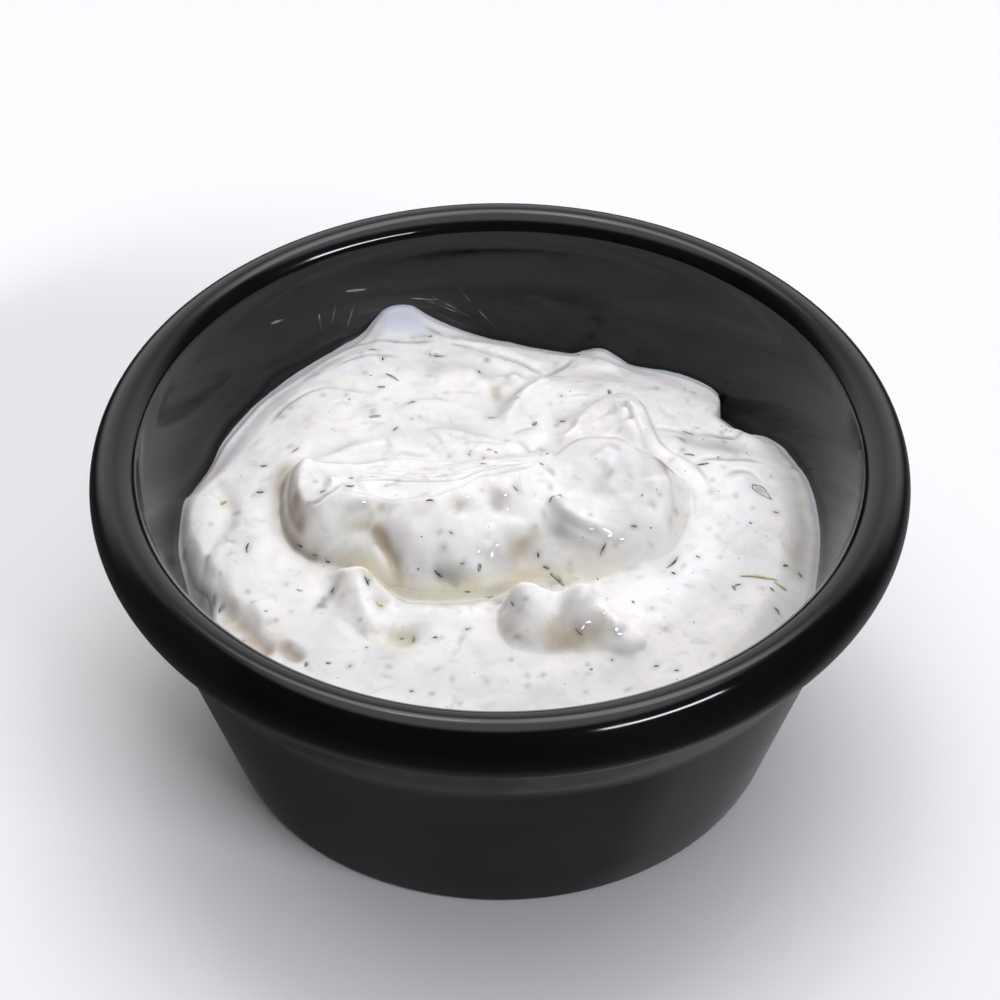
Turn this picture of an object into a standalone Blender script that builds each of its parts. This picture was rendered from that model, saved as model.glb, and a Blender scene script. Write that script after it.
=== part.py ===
"""Tzatziki dip in a small black ramekin.

Two solids stand one in the other: the ramekin, turned from one profile, and the dip, which fills it
up to the spooned surface. Lengths below are millimetres, turned to metres when a mesh is made.
The ramekin stands on z = 0 with its axis on the z axis. The front of the dip, where the two small
knobs are, faces -y.
"""
import math

import bmesh
import bpy
import numpy as np

MM = 0.001

# Ramekin: outside
RIM_RADIUS = 38.0          # outermost, half way up the rolled rim
HEIGHT = 33.4              # top of the rolled rim
ROLL_HALF_WIDTH = 2.5
ROLL_HALF_HEIGHT = 3.4
ROLL_STEPS = 15
BASE_RADIUS = 26.3         # where the wall's line meets the table
WALL_SLOPE = 0.314         # outward per unit of height, inside and outside
BASE_CORNER = 0.8
BASE_CORNER_STEPS = 3

# Ramekin: inside
CREASE_RADIUS = 33.6       # where the roll ends and the inner wall starts
CREASE_HEIGHT = 31.8
FLOOR = 3.2
FLOOR_CORNER = 3.6
FLOOR_CORNER_STEPS = 4
TURN_STEPS = 72

# Dip
GAP = 0.35                 # air left between the dip and the ramekin
LEVEL = 21.2               # of the dip where it meets the wall
FRONT_FIELD = 22.5         # height of the soft ground in front of the dollop
BACK_FIELD = 24.4          # and behind it
GRID_CELLS = 44

SLOPE_ANGLE = math.atan(WALL_SLOPE)
ROLL_RADIUS = RIM_RADIUS - ROLL_HALF_WIDTH
ROLL_HEIGHT = HEIGHT - ROLL_HALF_HEIGHT


def outer_wall(height):
    """Radius of the outside wall at a height."""
    return BASE_RADIUS + WALL_SLOPE * height


def inner_wall(height, inset=0.0):
    """Radius of the inside wall at a height, or of a surface that lies inset from it."""
    return CREASE_RADIUS + WALL_SLOPE * (height - CREASE_HEIGHT) - inset / math.cos(SLOPE_ANGLE)


def arc(centre, radius, start, end, steps):
    """Points along an arc in the profile plane; radius is a number or (across, up)."""
    across, up = radius if isinstance(radius, tuple) else (radius, radius)
    points = []
    for step in range(steps + 1):
        angle = start + (end - start) * step / steps
        points.append((centre[0] + across * math.cos(angle), centre[1] + up * math.sin(angle)))
    return points


def inside_corner(inset=0.0):
    """The rounded corner between floor and inner wall, from the floor outwards."""
    height = FLOOR + FLOOR_CORNER
    centre = (inner_wall(height) - FLOOR_CORNER / math.cos(SLOPE_ANGLE), height)
    return arc(centre, FLOOR_CORNER - inset, -math.pi / 2, -SLOPE_ANGLE, FLOOR_CORNER_STEPS)


def base_corner():
    """The small rounded corner between the outer wall and the base, from the wall inwards."""
    centre = (outer_wall(BASE_CORNER) - BASE_CORNER / math.cos(SLOPE_ANGLE), BASE_CORNER)
    return arc(centre, BASE_CORNER, -SLOPE_ANGLE, -math.pi / 2, BASE_CORNER_STEPS)


def roll():
    """The rolled rim's section, from the crease over the top to where it meets the outer wall."""
    start = math.acos((CREASE_RADIUS - ROLL_RADIUS) / ROLL_HALF_WIDTH)
    outside, inside = -math.pi / 2, -math.pi * 0.75
    while outside - inside > 1e-4:
        middle = (outside + inside) / 2
        radius = ROLL_RADIUS + ROLL_HALF_WIDTH * math.cos(middle)
        if radius > outer_wall(ROLL_HEIGHT + ROLL_HALF_HEIGHT * math.sin(middle)):
            outside = middle
        else:
            inside = middle
    return arc((ROLL_RADIUS, ROLL_HEIGHT), (ROLL_HALF_WIDTH, ROLL_HALF_HEIGHT), start, outside, ROLL_STEPS)


def ramekin_profile():
    """Half section, from the middle of the floor up the inside, over the rim and down the outside."""
    profile = [(0.0, FLOOR)]
    profile += inside_corner()
    profile.append((CREASE_RADIUS, CREASE_HEIGHT))
    profile += roll()
    profile += base_corner()
    profile.append((0.0, 0.0))
    return profile


def make_material(name, colour, roughness):
    material = bpy.data.materials.new(name)
    material.use_nodes = True
    shader = material.node_tree.nodes["Principled BSDF"]
    shader.inputs["Base Color"].default_value = (*colour, 1.0)
    shader.inputs["Roughness"].default_value = roughness
    shader.inputs["Metallic"].default_value = 0.0
    return material


def add_object(name, mesh, material, collection):
    mesh.materials.append(material)
    part = bpy.data.objects.new(name, mesh)
    collection.objects.link(part)
    return part


def make_ramekin(collection):
    """The whole ramekin turned from its half section."""
    bm = bmesh.new()
    points = [bm.verts.new((radius * MM, 0.0, height * MM)) for radius, height in ramekin_profile()]
    for above, below in zip(points, points[1:]):
        bm.edges.new((above, below))
    mesh = bpy.data.meshes.new("ramekin")
    bm.to_mesh(mesh)
    bm.free()
    black = make_material("black_melamine", (0.012, 0.012, 0.014), 0.12)
    part = add_object("ramekin", mesh, black, collection)
    turn = part.modifiers.new("turn", 'SCREW')
    turn.axis = 'Z'
    turn.steps = TURN_STEPS
    turn.render_steps = TURN_STEPS
    turn.use_smooth_shade = True
    turn.use_merge_vertices = True
    turn.merge_threshold = 0.00001
    return part


def smooth_step(value):
    """0 below 0, 1 above 1, and an even S between."""
    value = np.clip(value, 0.0, 1.0)
    return value * value * (3.0 - 2.0 * value)


def smooth_path(points, closed=False, steps=6):
    """A smooth curve through (x, y) points, as short straight pieces."""
    points = np.array(points, dtype=float)
    if closed:
        padded = np.vstack([points[-1], points, points[0], points[1]])
    else:
        padded = np.vstack([2 * points[0] - points[1], points, 2 * points[-1] - points[-2]])
    curve = []
    for before, start, end, after in zip(padded, padded[1:], padded[2:], padded[3:]):
        for t in np.arange(steps) / steps:
            curve.append(0.5 * (2 * start + (end - before) * t
                                + (2 * before - 5 * start + 4 * end - after) * t ** 2
                                + (3 * start - before - 3 * end + after) * t ** 3))
    if not closed:
        curve.append(points[-1])
    return np.array(curve)


def distance_to(path, x, y, closed=False):
    """Distance from each place to a path, and how far along the path its nearest point is, 0 to 1."""
    starts = path
    ends = np.roll(path, -1, axis=0)
    if not closed:
        starts, ends = path[:-1], path[1:]
    nearest = np.full(x.shape, 1e9)
    along = np.zeros(x.shape)
    for index, (start, end) in enumerate(zip(starts, ends)):
        run = end - start
        t = np.clip(((x - start[0]) * run[0] + (y - start[1]) * run[1]) / (run @ run), 0.0, 1.0)
        distance = np.hypot(x - start[0] - t * run[0], y - start[1] - t * run[1])
        closer = distance < nearest
        nearest = np.where(closer, distance, nearest)
        along = np.where(closer, (index + t) / len(starts), along)
    return nearest, along


def inside(path, x, y):
    """True where a place lies inside a closed path."""
    crossings = np.zeros(x.shape, dtype=int)
    for start, end in zip(path, np.roll(path, -1, axis=0)):
        spans = (start[1] > y) != (end[1] > y)
        with np.errstate(divide='ignore', invalid='ignore'):
            reach = (end[0] - start[0]) * (y - start[1]) / (end[1] - start[1]) + start[0]
        crossings += spans & (x < reach)
    return crossings % 2 == 1


def ridge(x, y, points, height, width):
    """A soft ridge along a path, fading out at both ends; a negative height makes a groove."""
    distance, along = distance_to(smooth_path(points), x, y)
    fade = smooth_step(along * 5 + 0.25) * smooth_step((1 - along) * 5 + 0.25)
    return height * fade * np.exp(-(distance / width) ** 2)


def lump(x, y, centre, height, across, deep, turn=0.0):
    """A rounded lump, wider one way than the other."""
    dx, dy = x - centre[0], y - centre[1]
    turn = math.radians(turn)
    first = (dx * math.cos(turn) + dy * math.sin(turn)) / across
    second = (dy * math.cos(turn) - dx * math.sin(turn)) / deep
    return height * np.exp(-(first ** 2 + second ** 2))


def pillow(x, y, outline, shoulder, foot):
    """0 outside a closed outline, rising from a soft foot to 1 at a shoulder's width inside it."""
    path = smooth_path(outline, closed=True)
    distance, _ = distance_to(path, x, y, closed=True)
    depth = np.where(inside(path, x, y), distance, -distance) + foot
    rise = np.clip(depth / (shoulder + foot), 0.0, 1.0)
    return np.sin(rise * math.pi / 2) * smooth_step(depth / (2.0 * foot))


# The dollop: where its foot runs, and the heights of its top from its left tip to its right end
DOLLOP_FOOT = [(-19.0, 7.8), (-20.6, 5.4), (-20.6, 1.0), (-19.2, -2.6), (-16.0, -4.9), (-13.4, -6.2),
               (-10.9, -8.1), (-6.5, -9.2), (-2.0, -8.9), (2.4, -7.0), (7.0, -7.5), (12.5, -5.2),
               (15.8, -2.6), (17.4, 2.0), (16.9, 6.4), (13.0, 8.4), (6.0, 7.6), (0.0, 8.0), (-10.0, 8.2)]
DOLLOP_SHOULDER = 6.0
DOLLOP_FOOT_ROUNDING = 0.8
TOP_STATIONS = [-19.0, -15.5, -9.0, 0.0, 4.5, 10.5, 14.5, 18.0]
TOP_HEIGHTS = [26.4, 27.7, 28.2, 28.4, 28.0, 28.9, 27.6, 25.6]
LIP_STATIONS = [-19.0, -14.0, -7.0, 0.0, 5.0, 10.0, 18.0]
LIP_DEPTHS = [6.0, 0.4, -1.6, 1.4, 4.0, 6.2, 5.0]
SHELF_DROP = 1.9


def edge_level(x, y):
    """Height of the dip along the wall, by direction: drawn up at the back left, lower at the right."""
    around = np.degrees(np.arctan2(x, -y))
    level = np.full(x.shape, LEVEL)
    level += 3.6 * np.exp(-((around + 160.0) / 12.0) ** 2)
    level += 0.9 * np.exp(-((around + 135.0) / 22.0) ** 2)
    level += 0.6 * np.exp(-((around + 100.0) / 14.0) ** 2)
    level -= 1.2 * np.exp(-((around - 130.0) / 7.0) ** 2)
    level -= 1.4 * np.exp(-((around + 70.0) / 16.0) ** 2)
    return level


def dollop(x, y, ground):
    """The large spoon-turned dollop across the middle, with a flat shelf behind its front lip."""
    top = np.interp(x, TOP_STATIONS, TOP_HEIGHTS)
    behind_lip = smooth_step((y - np.interp(x, LIP_STATIONS, LIP_DEPTHS)) / 3.0)
    top = top - SHELF_DROP * behind_lip
    top += lump(x, y, (-13.3, -2.0), 0.5, 2.6, 1.6)
    top += lump(x, y, (0.3, -1.0), 0.5, 1.6, 1.4)
    top += ridge(x, y, [(-11.6, -3.2), (-9.0, -8.0)], -2.0, 1.0)
    top += ridge(x, y, [(4.4, 2.8), (4.9, -1.6), (8.2, -4.0), (12.0, -4.0)], 0.9, 1.5)
    top += ridge(x, y, [(3.6, 3.2), (5.6, 1.2)], -1.0, 0.9)
    return ground + np.maximum(top - ground, 0.0) * pillow(x, y, DOLLOP_FOOT, DOLLOP_SHOULDER,
                                                       DOLLOP_FOOT_ROUNDING)


def surface(x, y):
    """Height of the dip's surface at each place, in mm."""
    radius = np.hypot(x, y)
    level = edge_level(x, y)
    edge = inner_wall(level, GAP)
    field = FRONT_FIELD + (BACK_FIELD - FRONT_FIELD) * smooth_step((y + 6.0) / 16.0)
    inward = smooth_step((edge - radius) / 7.0)
    ground = level + (field - level) * inward
    # back: curled fold behind the dollop's right end, two soft swells, crossing folds, a small ball
    fold = [(5.7, 9.6), (7.6, 11.9), (12.0, 13.8), (14.0, 10.8), (15.7, 8.2), (19.2, 6.0)]
    ground += ridge(x, y, fold, 2.0, 2.0)
    ground += ridge(x, y, [(-21.9, 13.6), (-19.4, 17.0), (-15.0, 17.8), (-12.6, 17.2)], 1.0, 2.2)
    ground += ridge(x, y, [(-1.5, 26.8), (3.4, 24.1), (7.1, 21.7)], 0.7, 1.4)
    ground += ridge(x, y, [(7.4, 25.2), (4.0, 22.4), (1.2, 18.0), (0.0, 13.5)], 0.8, 1.3)
    ground += lump(x, y, (1.4, 20.6), 0.8, 1.3, 1.2)
    ground += lump(x, y, (-3.8, 9.6), 1.0, 3.2, 1.6)
    ground += lump(x, y, (4.0, 10.4), 1.0, 2.2, 1.8)
    ground += lump(x, y, (-5.5, 22.5), 0.7, 4.5, 2.6)
    ground += lump(x, y, (19.5, 15.5), 0.8, 4.0, 5.5, -40.0)
    # sides: a folded lobe at the left, a long crease and a small scoop at the right
    ground += ridge(x, y, [(-25.3, 2.0), (-26.2, -1.6), (-27.4, -6.0)], -1.0, 1.0)
    ground += ridge(x, y, [(18.7, 7.7), (22.5, 8.6), (26.4, 9.6)], -0.6, 0.8)
    ground += lump(x, y, (22.8, 4.6), -0.7, 2.4, 1.6)
    # front: the peaked mass at the left, dents by the wall, a broad swell at the right
    ground += ridge(x, y, [(-13.4, -7.6), (-12.6, -9.4), (-11.4, -12.2)], 1.7, 1.3)
    ground += lump(x, y, (-21.6, -13.2), -0.9, 1.6, 1.2, -40.0)
    ground += lump(x, y, (-8.2, -14.0), 0.7, 1.6, 1.2)
    ground += ridge(x, y, [(27.0, -8.0), (22.0, -12.0), (18.5, -18.0)], 1.0, 3.0)
    # the pair of small knobs
    ground += lump(x, y, (2.6, -11.6), 2.9, 2.3, 2.2)
    ground += lump(x, y, (7.6, -12.0), 3.3, 2.2, 2.4)
    ground += ridge(x, y, [(8.0, -11.6), (10.4, -13.4), (11.8, -14.4)], 1.6, 1.2)
    return dollop(x, y, ground)


def make_dip(collection):
    """The dip: a square grid drawn out to a disc and raised, then a skirt down the wall to the floor."""
    bm = bmesh.new()
    bmesh.ops.create_grid(bm, x_segments=GRID_CELLS, y_segments=GRID_CELLS, size=1.0)
    square = np.array([vert.co[:2] for vert in bm.verts])
    across = square[:, 0] * np.sqrt(1.0 - square[:, 1] ** 2 / 2.0)
    deep = square[:, 1] * np.sqrt(1.0 - square[:, 0] ** 2 / 2.0)
    reach = inner_wall(edge_level(across, deep), GAP)
    x, y = across * reach, deep * reach
    for vert, place in zip(bm.verts, np.column_stack([x, y, surface(x, y)]) * MM):
        vert.co = place
    ring = [edge for edge in bm.edges if edge.is_boundary]
    skirt = [(inner_wall(height, GAP), height) for height in (16.0, 11.0)]
    skirt += reversed(inside_corner(GAP))
    for radius, height in skirt:
        extruded = bmesh.ops.extrude_edge_only(bm, edges=ring)["geom"]
        ring = [item for item in extruded if isinstance(item, bmesh.types.BMEdge)]
        for vert in {vert for edge in ring for vert in edge.verts}:
            scale = radius * MM / math.hypot(vert.co.x, vert.co.y)
            vert.co = (vert.co.x * scale, vert.co.y * scale, height * MM)
    bmesh.ops.contextual_create(bm, geom=ring)
    bmesh.ops.recalc_face_normals(bm, faces=bm.faces)
    mesh = bpy.data.meshes.new("dip")
    bm.to_mesh(mesh)
    bm.free()
    mesh.shade_smooth()
    white = make_material("tzatziki", (0.84, 0.83, 0.78), 0.3)
    return add_object("dip", mesh, white, collection)


def main():
    for item in list(bpy.data.objects):
        bpy.data.objects.remove(item, do_unlink=True)
    collection = bpy.data.collections.new("tzatziki_dip")
    bpy.context.scene.collection.children.link(collection)
    make_ramekin(collection)
    make_dip(collection)


main()
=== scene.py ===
"""Looks of the tzatziki dip in its small black ramekin.

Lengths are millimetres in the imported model's frame, turned to metres when a mesh is made. The
front of the dip, where the two small knobs are, faces -y. Directions round the bowl are degrees
from the front, positive towards +x.
"""
import math
import random

import bmesh
import bpy
import numpy as np
from mathutils import Matrix, Vector, noise
from mathutils.bvhtree import BVHTree


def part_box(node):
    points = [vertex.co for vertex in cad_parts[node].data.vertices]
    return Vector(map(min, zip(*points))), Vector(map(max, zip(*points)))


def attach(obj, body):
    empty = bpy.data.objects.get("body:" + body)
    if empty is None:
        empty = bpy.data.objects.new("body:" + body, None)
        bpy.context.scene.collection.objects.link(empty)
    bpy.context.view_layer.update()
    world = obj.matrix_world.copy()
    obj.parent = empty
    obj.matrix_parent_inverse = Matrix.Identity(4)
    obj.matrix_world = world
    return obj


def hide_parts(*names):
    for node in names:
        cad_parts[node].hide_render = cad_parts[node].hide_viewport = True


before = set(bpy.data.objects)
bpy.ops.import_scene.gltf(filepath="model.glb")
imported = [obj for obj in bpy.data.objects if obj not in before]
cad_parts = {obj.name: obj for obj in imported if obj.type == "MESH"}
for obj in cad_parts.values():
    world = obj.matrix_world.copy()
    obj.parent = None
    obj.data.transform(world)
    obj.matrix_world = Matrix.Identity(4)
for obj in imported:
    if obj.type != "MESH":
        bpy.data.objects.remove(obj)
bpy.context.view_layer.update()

MM = 0.001

# Ramekin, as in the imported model
RIM_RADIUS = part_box("ramekin")[1].x / MM
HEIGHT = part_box("ramekin")[1].z / MM
ROLL_HALF_WIDTH = 2.5
ROLL_HALF_HEIGHT = 3.4
ROLL_RADIUS = RIM_RADIUS - ROLL_HALF_WIDTH
ROLL_HEIGHT = HEIGHT - ROLL_HALF_HEIGHT
BASE_RADIUS = 26.3
WALL_SLOPE = 0.314
SLOPE_ANGLE = math.atan(WALL_SLOPE)
CREASE_RADIUS = 33.6
CREASE_HEIGHT = 31.8
FLOOR = 3.2
FLOOR_CORNER = 3.6
BASE_CORNER = 0.8
ROLL_STEPS = 46
CORNER_STEPS = 8
TURN_STEPS = 192

# Dip
# Tints painted on the dip: hollow is painted warm shade, grey is painted shade and also herbs under the
# cream, whey is whey's yellow and in places painted warm shade, film is the thin cream at the wall, wet the
# shine
TINTS = ("hollow", "whey", "grey", "film", "wet")
NOTHING = -99.0             # height where a mass isn't
GRID_CELLS = 290
INTO_WALL = 0.12            # how far the dip reaches into the ramekin's wall
SHRED_RINGS = 7             # from end to end of a herb piece

# Camera, in rim radii from the middle of the table under the bowl
CAMERA_BACK = 7.474
CAMERA_UP = 7.445
CAMERA_TILT = 42.07         # degrees below level
CAMERA_LENS = 147.58
CAMERA_SENSOR = 36.0


# ---- curves and distances

def smooth_step(value):
    """0 below 0, 1 above 1, and an even S between."""
    value = np.clip(value, 0.0, 1.0)
    return value * value * (3.0 - 2.0 * value)


def smooth_path(points, closed=False, steps=6):
    """A smooth curve through points, as short straight pieces. Points may carry more than x and y."""
    points = np.array(points, dtype=float)
    if closed:
        padded = np.vstack([points[-1], points, points[0], points[1]])
    else:
        padded = np.vstack([2 * points[0] - points[1], points, 2 * points[-1] - points[-2]])
    curve = []
    for before, start, end, after in zip(padded, padded[1:], padded[2:], padded[3:]):
        for t in np.arange(steps) / steps:
            curve.append(0.5 * (2 * start + (end - before) * t
                                + (2 * before - 5 * start + 4 * end - after) * t ** 2
                                + (3 * start - before - 3 * end + after) * t ** 3))
    if not closed:
        curve.append(points[-1])
    return np.array(curve)


def track(path, x, y):
    """For each place: distance to the path, row of the path nearest to it as a fraction, and side.

    The side is 1 on the left of the path's direction and -1 on its right.
    """
    nearest = np.full(x.shape, 1e9)
    row = np.zeros(x.shape)
    side = np.ones(x.shape)
    for index, (start, end) in enumerate(zip(path[:-1], path[1:])):
        run = end[:2] - start[:2]
        dx, dy = x - start[0], y - start[1]
        t = np.clip((dx * run[0] + dy * run[1]) / (run @ run), 0.0, 1.0)
        distance = np.hypot(dx - t * run[0], dy - t * run[1])
        closer = distance < nearest
        nearest[closer] = distance[closer]
        row[closer] = index + t[closer]
        side[closer] = np.where((run[0] * dy - run[1] * dx)[closer] >= 0, 1.0, -1.0)
    return nearest, row, side


def at_row(path, row, column):
    """A column of the path's points, read at fractional rows."""
    return np.interp(row, np.arange(len(path)), path[:, column])


def pull(path, x, y):
    """Distance to a path and the height it has there, both without a ridge midway round a bend."""
    length = np.linalg.norm(np.gradient(path[:, :2], axis=0), axis=1)
    total = np.zeros(x.shape)
    height = np.zeros(x.shape)
    for point, share in zip(path, length):
        strength = share / ((x - point[0]) ** 2 + (y - point[1]) ** 2 + 1e-4) ** 2
        total += strength
        height += strength * point[2]
    return (2.0 / math.pi * total) ** (-1.0 / 3.0), height / total


def inside(path, x, y):
    """True where a place lies inside a closed path."""
    crossings = np.zeros(x.shape, dtype=int)
    for start, end in zip(path, np.roll(path, -1, axis=0)):
        spans = (start[1] > y) != (end[1] > y)
        with np.errstate(divide='ignore', invalid='ignore'):
            reach = (end[0] - start[0]) * (y - start[1]) / (end[1] - start[1]) + start[0]
        crossings += spans & (x < reach)
    return crossings % 2 == 1


def bell(value, middle, spread):
    """1 at the middle, falling off evenly to both sides over the spread."""
    return np.exp(-((value - middle) / spread) ** 2)


def soft_max(first, second, blend):
    """The larger of two heights, with a fillet of about the blend's size where they meet."""
    share = np.clip(0.5 + 0.5 * (first - second) / blend, 0.0, 1.0)
    return second + (first - second) * share + blend * share * (1.0 - share)


class Surface:
    """Height z and the tints over a set of places, shaped one stroke at a time."""

    def __init__(self, x, y):
        self.x = x
        self.y = y
        for layer in ("z", *TINTS):
            setattr(self, layer, np.zeros(x.shape))

    def close_to(self, path, reach):
        """True for places in the box round a path, widened by the reach."""
        low = path[:, :2].min(axis=0) - reach
        high = path[:, :2].max(axis=0) + reach
        return (self.x > low[0]) & (self.x < high[0]) & (self.y > low[1]) & (self.y < high[1])

    def follow(self, points, reach, ends):
        """Where a path's neighbourhood is, with the distance, side and fade towards its ends there."""
        path = smooth_path(points)
        near = self.close_to(path, 2.6 * reach)
        distance, row, side = track(path, self.x[near], self.y[near])
        along = row / (len(path) - 1)
        fade = smooth_step((along + 0.02) / ends) * smooth_step((1.02 - along) / ends)
        return near, distance, side, fade

    def ridge(self, points, amount, left, right=None, ends=0.25, on="z"):
        """A soft ridge along a path with its own width on each side; a negative amount is a groove.

        On a tint it is a streak, which comes and goes a little along its way.
        """
        right = left if right is None else right
        near, distance, side, fade = self.follow(points, max(left, right), ends)
        if on != "z":
            fade = fade * (0.78 + 0.22 * np.sin(1.9 * self.x[near]) * np.sin(2.3 * self.y[near] + 1.0))
        getattr(self, on)[near] += amount * fade * bell(distance, 0.0, np.where(side > 0, left, right))

    def fold(self, points, height, reach, edge=0.25, groove=0.3, ends=0.2, tone=0.0):
        """A fold's edge: the left of the path stands higher, and sinks back over the reach.

        The groove is the depth of the crease along the low side, as a share of the height, and the
        tone is how much painted shade darkens the crease.
        """
        near, distance, side, fade = self.follow(points, max(reach, edge), ends)
        across = distance * side
        rise = smooth_step((across + edge) / (2.0 * edge)) * bell(np.maximum(across, 0.0), 0.0, reach)
        crease = bell(across, -edge, edge)
        self.z[near] += height * fade * (rise - groove * crease)
        # painted shade in the crease
        self.grey[near] += tone * fade * crease

    def crease(self, points, depth, width, tone=0.5, ends=0.15):
        """A narrow line pressed into the surface, with painted shade along it."""
        self.ridge(points, -depth, width, width, ends)
        self.ridge(points, tone, width, width, ends, on="grey")

    def lump(self, centre, amount, across, deep, turn=0.0, on="z"):
        """A rounded lump, wider one way than the other; on a tint, a dab."""
        near = self.close_to(np.array([centre]), 2.8 * max(across, deep))
        dx, dy = self.x[near] - centre[0], self.y[near] - centre[1]
        turn = math.radians(turn)
        first = (dx * math.cos(turn) + dy * math.sin(turn)) / across
        second = (dy * math.cos(turn) - dx * math.sin(turn)) / deep
        getattr(self, on)[near] += amount * np.exp(-(first ** 2 + second ** 2))

    def lay(self, strokes):
        """Lays strokes in their order; the first table of them says how they are written."""
        for kind, places, *settings in strokes:
            for flat in places if isinstance(places, list) else [places]:
                points = list(zip(flat[::2], flat[1::2]))
                if kind in ("crease", "fold"):
                    getattr(self, kind)(points, *settings)
                elif len(points) == 1:
                    self.lump(points[0], *settings, on=kind)
                else:
                    self.ridge(points, *settings, on=kind)

    def bar(self, stations, fall, blend):
        """A full, steep-sided roll of cream through stations (x, y, top, radius)."""
        path = smooth_path(stations)
        reach = path[:, 3].max() + blend
        near = self.close_to(path, reach)
        distance, row, _ = track(path, self.x[near], self.y[near])
        radius = at_row(path, row, 3)
        share = np.clip(distance / radius, 0.0, 1.0)
        top = at_row(path, row, 2) - fall * radius * (1.0 - np.sqrt(1.0 - share ** 2))
        top = np.where(distance < radius, top, NOTHING)
        self.z[near] = soft_max(top, self.z[near], blend)

    def spread(self, first, second, profile, target):
        """Fills the target between two edges, each with its own heights, by a profile from 0 to 1."""
        region = inside(np.vstack([first, second[::-1]]), self.x, self.y)
        first_distance, low = pull(first, self.x[region], self.y[region])
        second_distance, high = pull(second, self.x[region], self.y[region])
        target[region] = low + (high - low) * profile(first_distance / (first_distance + second_distance))

    def mound(self, crest, foot, fullness, back, blend):
        """A mass with a face from its foot up to its crest, which drops steeply behind the crest."""
        crest, foot = smooth_path(crest, steps=12), smooth_path(foot, steps=12)
        mass = np.full(self.x.shape, NOTHING)
        self.spread(foot, crest, lambda share: full_profile(share, fullness), mass)
        near = self.close_to(crest, back) & (mass < 0)
        distance, row, _ = track(crest, self.x[near], self.y[near])
        mass[near] = np.where(distance < back, at_row(crest, row, 2) - 4.0 * (distance / back) ** 2, NOTHING)
        self.z = soft_max(mass, self.z, blend)


def full_profile(share, fullness):
    """From 0 to 1: straight for a fullness of 0, a quarter round for 1."""
    return (1.0 - fullness) * share + fullness * np.sin(share * math.pi / 2)


def outer_wall(height):
    """Radius of the ramekin's outside wall at a height."""
    return BASE_RADIUS + WALL_SLOPE * height


def inner_wall(height):
    """Radius of the ramekin's inside wall at a height."""
    return CREASE_RADIUS + WALL_SLOPE * (height - CREASE_HEIGHT)


# ---- finishes

def fill(tree, node, inputs):
    """Sets a node's inputs; one that is given a socket is linked."""
    for name, value in inputs.items():
        if isinstance(value, bpy.types.NodeSocket):
            tree.links.new(value, node.inputs[name])
        else:
            node.inputs[name].default_value = value


def put(tree, kind, inputs=None, **settings):
    """A new node with its settings and inputs."""
    node = tree.nodes.new(kind)
    for name, value in settings.items():
        setattr(node, name, value)
    fill(tree, node, inputs or {})
    return node


def maths(tree, operation, *values):
    return put(tree, "ShaderNodeMath", dict(enumerate(values)), operation=operation).outputs[0]


def start_finish(name):
    material = bpy.data.materials.new(name)
    material.use_nodes = True
    return material, material.node_tree, material.node_tree.nodes["Principled BSDF"]


def shade_range(tree, value, low, high, to_low, to_high):
    """A value stretched softly from one range to another."""
    node = put(tree, "ShaderNodeMapRange", {"Value": value, "From Min": low, "From Max": high,
                                            "To Min": to_low, "To Max": to_high},
               interpolation_type='SMOOTHSTEP')
    return node.outputs["Result"]


def mix_colour(tree, share, first, second, blend_type='MIX'):
    """Two colours mixed; each is red, green and blue, or a socket."""
    first, second = ((*colour, 1.0) if isinstance(colour, tuple) else colour for colour in (first, second))
    node = put(tree, "ShaderNodeMix", {0: share, 6: first, 7: second}, data_type='RGBA',
               blend_type=blend_type)
    return node.outputs[2]


def grain(tree, scale, detail=2.0, roughness=0.5, stretch=(1.0, 1.0, 1.0), distortion=0.0):
    """Noise in the piece's own coordinates; the scale counts features a metre."""
    place = put(tree, "ShaderNodeTexCoord").outputs["Object"]
    place = put(tree, "ShaderNodeMapping", {"Vector": place, "Scale": stretch}).outputs["Vector"]
    node = put(tree, "ShaderNodeTexNoise", {"Vector": place, "Scale": scale, "Detail": detail,
                                            "Roughness": roughness, "Distortion": distortion})
    return node.outputs["Fac"]


def relief(tree, height, strength, distance):
    node = put(tree, "ShaderNodeBump", {"Height": height, "Strength": strength, "Distance": distance})
    return node.outputs["Normal"]


def melamine_finish():
    """Glossy black melamine with wiped-over grease."""
    material, tree, shader = start_finish("black_melamine")
    smudge = grain(tree, 60.0, 4.0, 0.6, (1.0, 1.0, 3.0), 0.8)
    film = shade_range(tree, grain(tree, 34.0, 3.0, 0.5, (1.0, 1.0, 2.6), 0.4), 0.40, 0.70, 0.0, 1.0)
    fill(tree, shader, {
        "Base Color": mix_colour(tree, film, (0.0035, 0.0035, 0.0040), (0.0085, 0.0085, 0.0090)),
        "Roughness": shade_range(tree, smudge, 0.42, 0.68, 0.07, 0.17),
        "Normal": relief(tree, grain(tree, 220.0, 2.0), 0.03, 0.0004),
        "Specular IOR Level": 0.4})
    return material


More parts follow.
